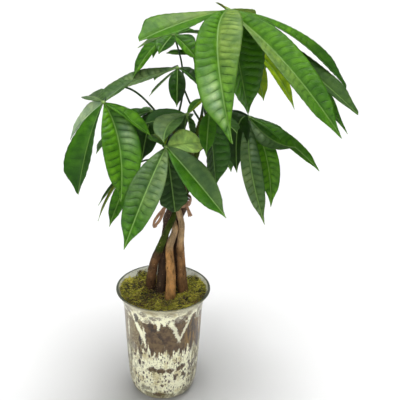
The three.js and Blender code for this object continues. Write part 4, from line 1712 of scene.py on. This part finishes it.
@dataclass
class Leaflet:
    """One leaflet, shaped from a grid: folded on its rib, quilted between its side veins, with a long tip."""

    hub: Vector
    blade: Blade
    seed: float
    power: float = 1.9
    thickness: float = 0.6
    vein_gap: float = 8.4
    fewest_veins: int = 6
    quilt: float = 0.05
    columns: int = 20
    rows_per_vein: int = 6
    fewest_rows: int = 30

    def __post_init__(self) -> None:
        """Works out the leaflet's line."""
        b = self.blade
        self.reach = Vector((b.x, b.y, b.z))
        self.length = self.reach.length
        self.flat = Vector((b.y, -b.x, 0)).normalized()
        self.middle = (self.hub + self.reach * 0.5 + UP * (b.arch * self.length)
                       + self.flat * (b.bow * self.length))
        self.tip = self.hub + self.reach
        self.veins = max(self.fewest_veins, round(self.length * 1.08 / self.vein_gap))

    def share(self, t: float, s: float) -> float:
        """Returns how wide a half is.

        Args:
            t: Share along.
            s: Share across, whose sign says which half.

        Returns:
            The half's width as a share of its greatest.
        """
        peak = self.blade.right_peak if s > 0 else self.blade.left_peak or self.blade.right_peak
        full = (t / peak) ** (self.power * peak) * ((1 - t) / (1 - peak)) ** (self.power * (1 - peak))
        return full * (1 - 0.5 * ease(t, 0.82, 0.97))

    def spot(self, u: float, v: float) -> Spot:
        """Returns a point of the upper face.

        Args:
            u: Share across, from the left edge to the right.
            v: Share along, from hub to tip.

        Returns:
            The point, with its colour and where it is among the veins.
        """
        b = self.blade
        q = 2 * u - 1
        s = math.copysign(abs(q) ** 1.2, q)
        gap, hand = abs(s), (s > 0) - (s < 0)
        centre = bend(self.hub, self.middle, self.tip, v)
        along = ((self.middle - self.hub) * (1 - v) + (self.tip - self.middle) * v).normalized()
        level = (self.flat - along * self.flat.dot(along)).normalized()
        face = level.cross(along)
        roll, fold = math.radians(b.roll), math.radians(b.fold)
        side = level * math.cos(roll) + face * math.sin(roll)
        normal = face * math.cos(roll) - level * math.sin(roll)
        half = max(b.width / 2 * self.share(min(max(v, 0.0), 1.0), s), mix(0.9, 0.3, v))
        drift = 0.45 * uneven(v * 5, s * 1.7, self.seed * 5) + (0.35 if s > 0 else 0.0)
        count = self.veins * (v - 0.34 * gap**1.4 * half / self.length) + drift
        panel = abs(math.sin(math.pi * count)) ** 0.6
        lift = half * math.sin(fold) * (1.3 * gap - 0.3 * gap * gap)
        wave = gap * gap * 0.05 * half * math.sin(9 * v + self.seed + hand)
        ripple = gap**3 * 0.012 * half * math.sin(TURN * count)
        window = ease(gap, 0.03, 0.2) * (1 - 0.9 * ease(gap, 0.62, 1.0))
        window *= ease(v, 0.03, 0.12) * (1 - ease(v, 0.9, 1.0))
        dent = 0.8 + 0.9 * uneven(v * 7, s * 2, self.seed)
        puff = self.quilt * b.puff * b.width / 2 * dent * panel * window
        groove = 0.55 * math.exp(-((gap * half / 1.2) ** 2)) * ease(v, 0.02, 0.1)
        height = lift + wave + ripple + puff - groove
        place = centre + side * (s * half * math.cos(fold)) + normal * height
        return Spot(place, self.colour(s, v, panel), (count, gap * half, gap))

    def colour(self, s: float, t: float, panel: float) -> tuple:
        """Returns the leaflet's colour, and in its alpha how bold its side veins are.

        Args:
            s: Share across, from -1 to 1.
            t: Share along.
            panel: Height between two side veins, from 0 to 1.

        Returns:
            The colour.
        """
        b = self.blade
        right = linear(*b.right.value)
        left = linear(*(b.left or b.right).value)
        body = blend(left, right, ease(s, -0.12, 0.12))
        if b.tip:
            body = blend(body, linear(*b.tip.value), ease(t, 0.45, 0.85) * 0.9)
        shift = 1 + 0.16 * uneven(s * 1.4, t * 5, self.seed * 3)
        # Painted highlight: a gleam blends the leaflet towards SILVER, most on the tops of its panels, as a
        # patch of reflected light.
        if b.gleam:
            across, along, strength = b.gleam
            near = math.exp(-(((s - across) / 0.34) ** 2) - ((t - along) / 0.13) ** 2)
            body = blend(body, linear(*SILVER.value), strength * near * (0.3 + 0.7 * panel))
        bold = b.puff * (0.72 + 0.75 * uneven(t * 7, s * 2.4, self.seed * 7 + 3))
        return (*(c * shift for c in body), mix(0.25, 1.0, min(1.0, max(0.0, bold))))

    def add(self, work: Work) -> None:
        """Adds the leaflet to a piece, with its under side marked in the tint's alpha.

        Args:
            work: The piece.
        """
        rows = max(self.fewest_rows, self.veins * self.rows_per_vein)
        made = work.grid(self.columns, rows, self.spot)
        for vert in work.thicken(made, self.thickness):
            red, green, blue, _ = vert[work.tint]
            vert[work.tint] = (red, green, blue, 0.0)


@dataclass
class Foliage:
    """All the leaves, each on its own stalk from its stem."""

    stems: PlaitedStems
    stalk_radius: float = 1.1
    stalk_rings: int = 37
    stalk_sides: int = 10
    hub_radius: float = 2.7

    def stalk(self, work: Work, leaf: Leaf) -> None:
        """Adds the stalk, swollen where it meets its hub.

        Args:
            work: The leaf's piece.
            leaf: The leaf.
        """
        start = self.stems.middle(self.stems.stems[leaf.stem], leaf.start)
        via, hub = Vector(leaf.via), Vector(leaf.hub)
        run = (hub - start).length
        shares = [k / (self.stalk_rings - 1) for k in range(self.stalk_rings)]
        points = [bend(start, via, hub, share) for share in shares]
        radii = [self.stalk_radius * (mix(1.25, 0.9, share) + 0.7 * ease(share, 1 - 7 / run, 1)
                                      + 0.5 * (1 - ease(share, 0, 6 / run))) for share in shares]
        low, high = linear(*DARK.value), linear(*leaf.stalk.value)
        work.bar(rings_along(points, radii), self.stalk_sides,
                 lambda ring: (*blend(low, high, ease(ring.share, 0.6, 1.0)), 1.0), material=1)

    def hub(self, work: Work, leaf: Leaf) -> None:
        """Adds the swelling that the leaflets spring from.

        Args:
            work: The leaf's piece.
            leaf: The leaf.
        """
        hub = Vector(leaf.hub)
        made = bmesh.ops.create_icosphere(work.bm, subdivisions=3, radius=self.hub_radius)["verts"]
        green = (*linear(*SATIN.value), 1.0)
        for vert in made:
            knob = 1 + 0.12 * uneven(*vert.co * 0.9 + hub)
            vert.co = vert.co * Vector((knob, knob, 0.75 * knob)) + hub
            vert[work.tint] = green
        for face in {f for vert in made for f in vert.link_faces}:
            face.material_index = 1

    def build(self) -> list[bpy.types.Object]:
        """Builds every leaf.

        Returns:
            The leaves.
        """
        materials = [LeafFinish().material(), StalkFinish().material()]
        pieces = []
        for number, leaf in enumerate(LEAVES):
            work = Work()
            self.stalk(work, leaf)
            self.hub(work, leaf)
            for k, blade in enumerate(leaf.blades):
                Leaflet(Vector(leaf.hub), blade, number + 1.7 * k).add(work)
            node = f"leaf_{number + 1:02d}"
            pieces.append(work.finish(f"palmate_{node}", "leaf", materials, [node]))
        return pieces


@dataclass(frozen=True)
class Lamp:
    """A broad soft light: its name, energy, spread in degrees and the direction it stands in."""

    name: str
    energy: float
    spread: float
    towards: tuple[float, float, float]


@dataclass
class Studio:
    """Pale floor, soft light all round, broad soft lights overhead and in front, and the camera."""

    eye: tuple[float, float, float] = (0.0, -0.860742, 0.669041)
    right: tuple[float, float, float] = (0.99876107, -0.04446256, 0.02234724)
    above: tuple[float, float, float] = (-0.00243764, 0.40482391, 0.91439142)
    ahead: tuple[float, float, float] = (0.04970288, 0.91331303, -0.40421397)
    focal_pixels: float = 733.23
    frame_pixels: float = 400
    sensor: float = 36
    floor_size: float = 12
    wall_radius: float = 11.5
    wall_height: float = 16
    sky: float = 0.24
    lamps: tuple[Lamp, ...] = (Lamp("overhead_light", 3.75, 34, (0.1, 0.03, 1)),
                               Lamp("front_light", 1.05, 50, (-0.35, -1, 0.5)))

    def camera(self) -> None:
        """Makes the camera and makes it the scene's."""
        data = bpy.data.cameras.new("camera")
        data.sensor_width = self.sensor
        data.lens = self.focal_pixels * self.sensor / self.frame_pixels
        data.clip_start = 0.01
        camera = bpy.data.objects.new("camera", data)
        back = [-part for part in self.ahead]
        camera.matrix_world = Matrix([*zip(self.right, self.above, back, self.eye), (0, 0, 0, 1)])
        bpy.context.scene.collection.objects.link(camera)
        bpy.context.scene.camera = camera

    def lights(self) -> None:
        """Makes the soft surround and the broad lights."""
        world = bpy.data.worlds.new("surround")
        world.use_nodes = True
        back = world.node_tree.nodes["Background"]
        back.inputs["Color"].default_value = (1, 1, 1, 1)
        back.inputs["Strength"].default_value = self.sky
        bpy.context.scene.world = world
        for lamp in self.lamps:
            data = bpy.data.lights.new(lamp.name, "SUN")
            data.energy = lamp.energy
            data.angle = math.radians(lamp.spread)
            light = bpy.data.objects.new(lamp.name, data)
            light.rotation_euler = Vector(lamp.towards).to_track_quat("Z", "Y").to_euler()
            bpy.context.scene.collection.objects.link(light)
        bpy.context.scene.view_settings.view_transform = "Standard"

    def sheet(self, name: str, bm: bmesh.types.BMesh, material: bpy.types.Material) -> bpy.types.Object:
        """Turns a mesh into a part of the studio.

        Args:
            name: Its name.
            bm: Its mesh, in metres.
            material: Its material.

        Returns:
            The part.
        """
        mesh = bpy.data.meshes.new(name)
        bm.to_mesh(mesh)
        bm.free()
        mesh.materials.append(material)
        part = bpy.data.objects.new(name, mesh)
        bpy.context.scene.collection.objects.link(part)
        return part

    def floor(self) -> None:
        """Makes the floor."""
        bm = bmesh.new()
        bmesh.ops.create_grid(bm, x_segments=4, y_segments=4, size=self.floor_size)
        floor = self.sheet("floor", bm, FloorFinish().material())

    def backdrop(self) -> None:
        """Makes the paper wall round the floor, which lights nothing."""
        bm = bmesh.new()
        bmesh.ops.create_cone(bm, segments=96, radius1=self.wall_radius, radius2=self.wall_radius,
                              depth=self.wall_height)
        wall = self.sheet("backdrop", bm, BackdropFinish().material())
        wall.visible_diffuse = False
        wall.visible_glossy = False
        wall.visible_transmission = False
        wall.visible_shadow = False

    def build(self) -> None:
        """Builds the whole studio."""
        self.camera()
        self.lights()
        self.floor()
        self.backdrop()
        LOG.info("studio: camera, lights, floor and backdrop")


def main() -> None:
    """Builds the studio, vase, soil, stems, moss, tie and leaves, in that order."""
    logging.basicConfig(level=logging.INFO, format="%(name)s: %(message)s")
    Studio().build()
    vase = GlassVase()
    vase.build()
    PottingSoil().dress()
    stems = PlaitedStems()
    stems.build()
    MossBed(vase, stems).build()
    RaffiaTie(stems).build()
    Foliage(stems).build()


if __name__ == "__main__":
    main()
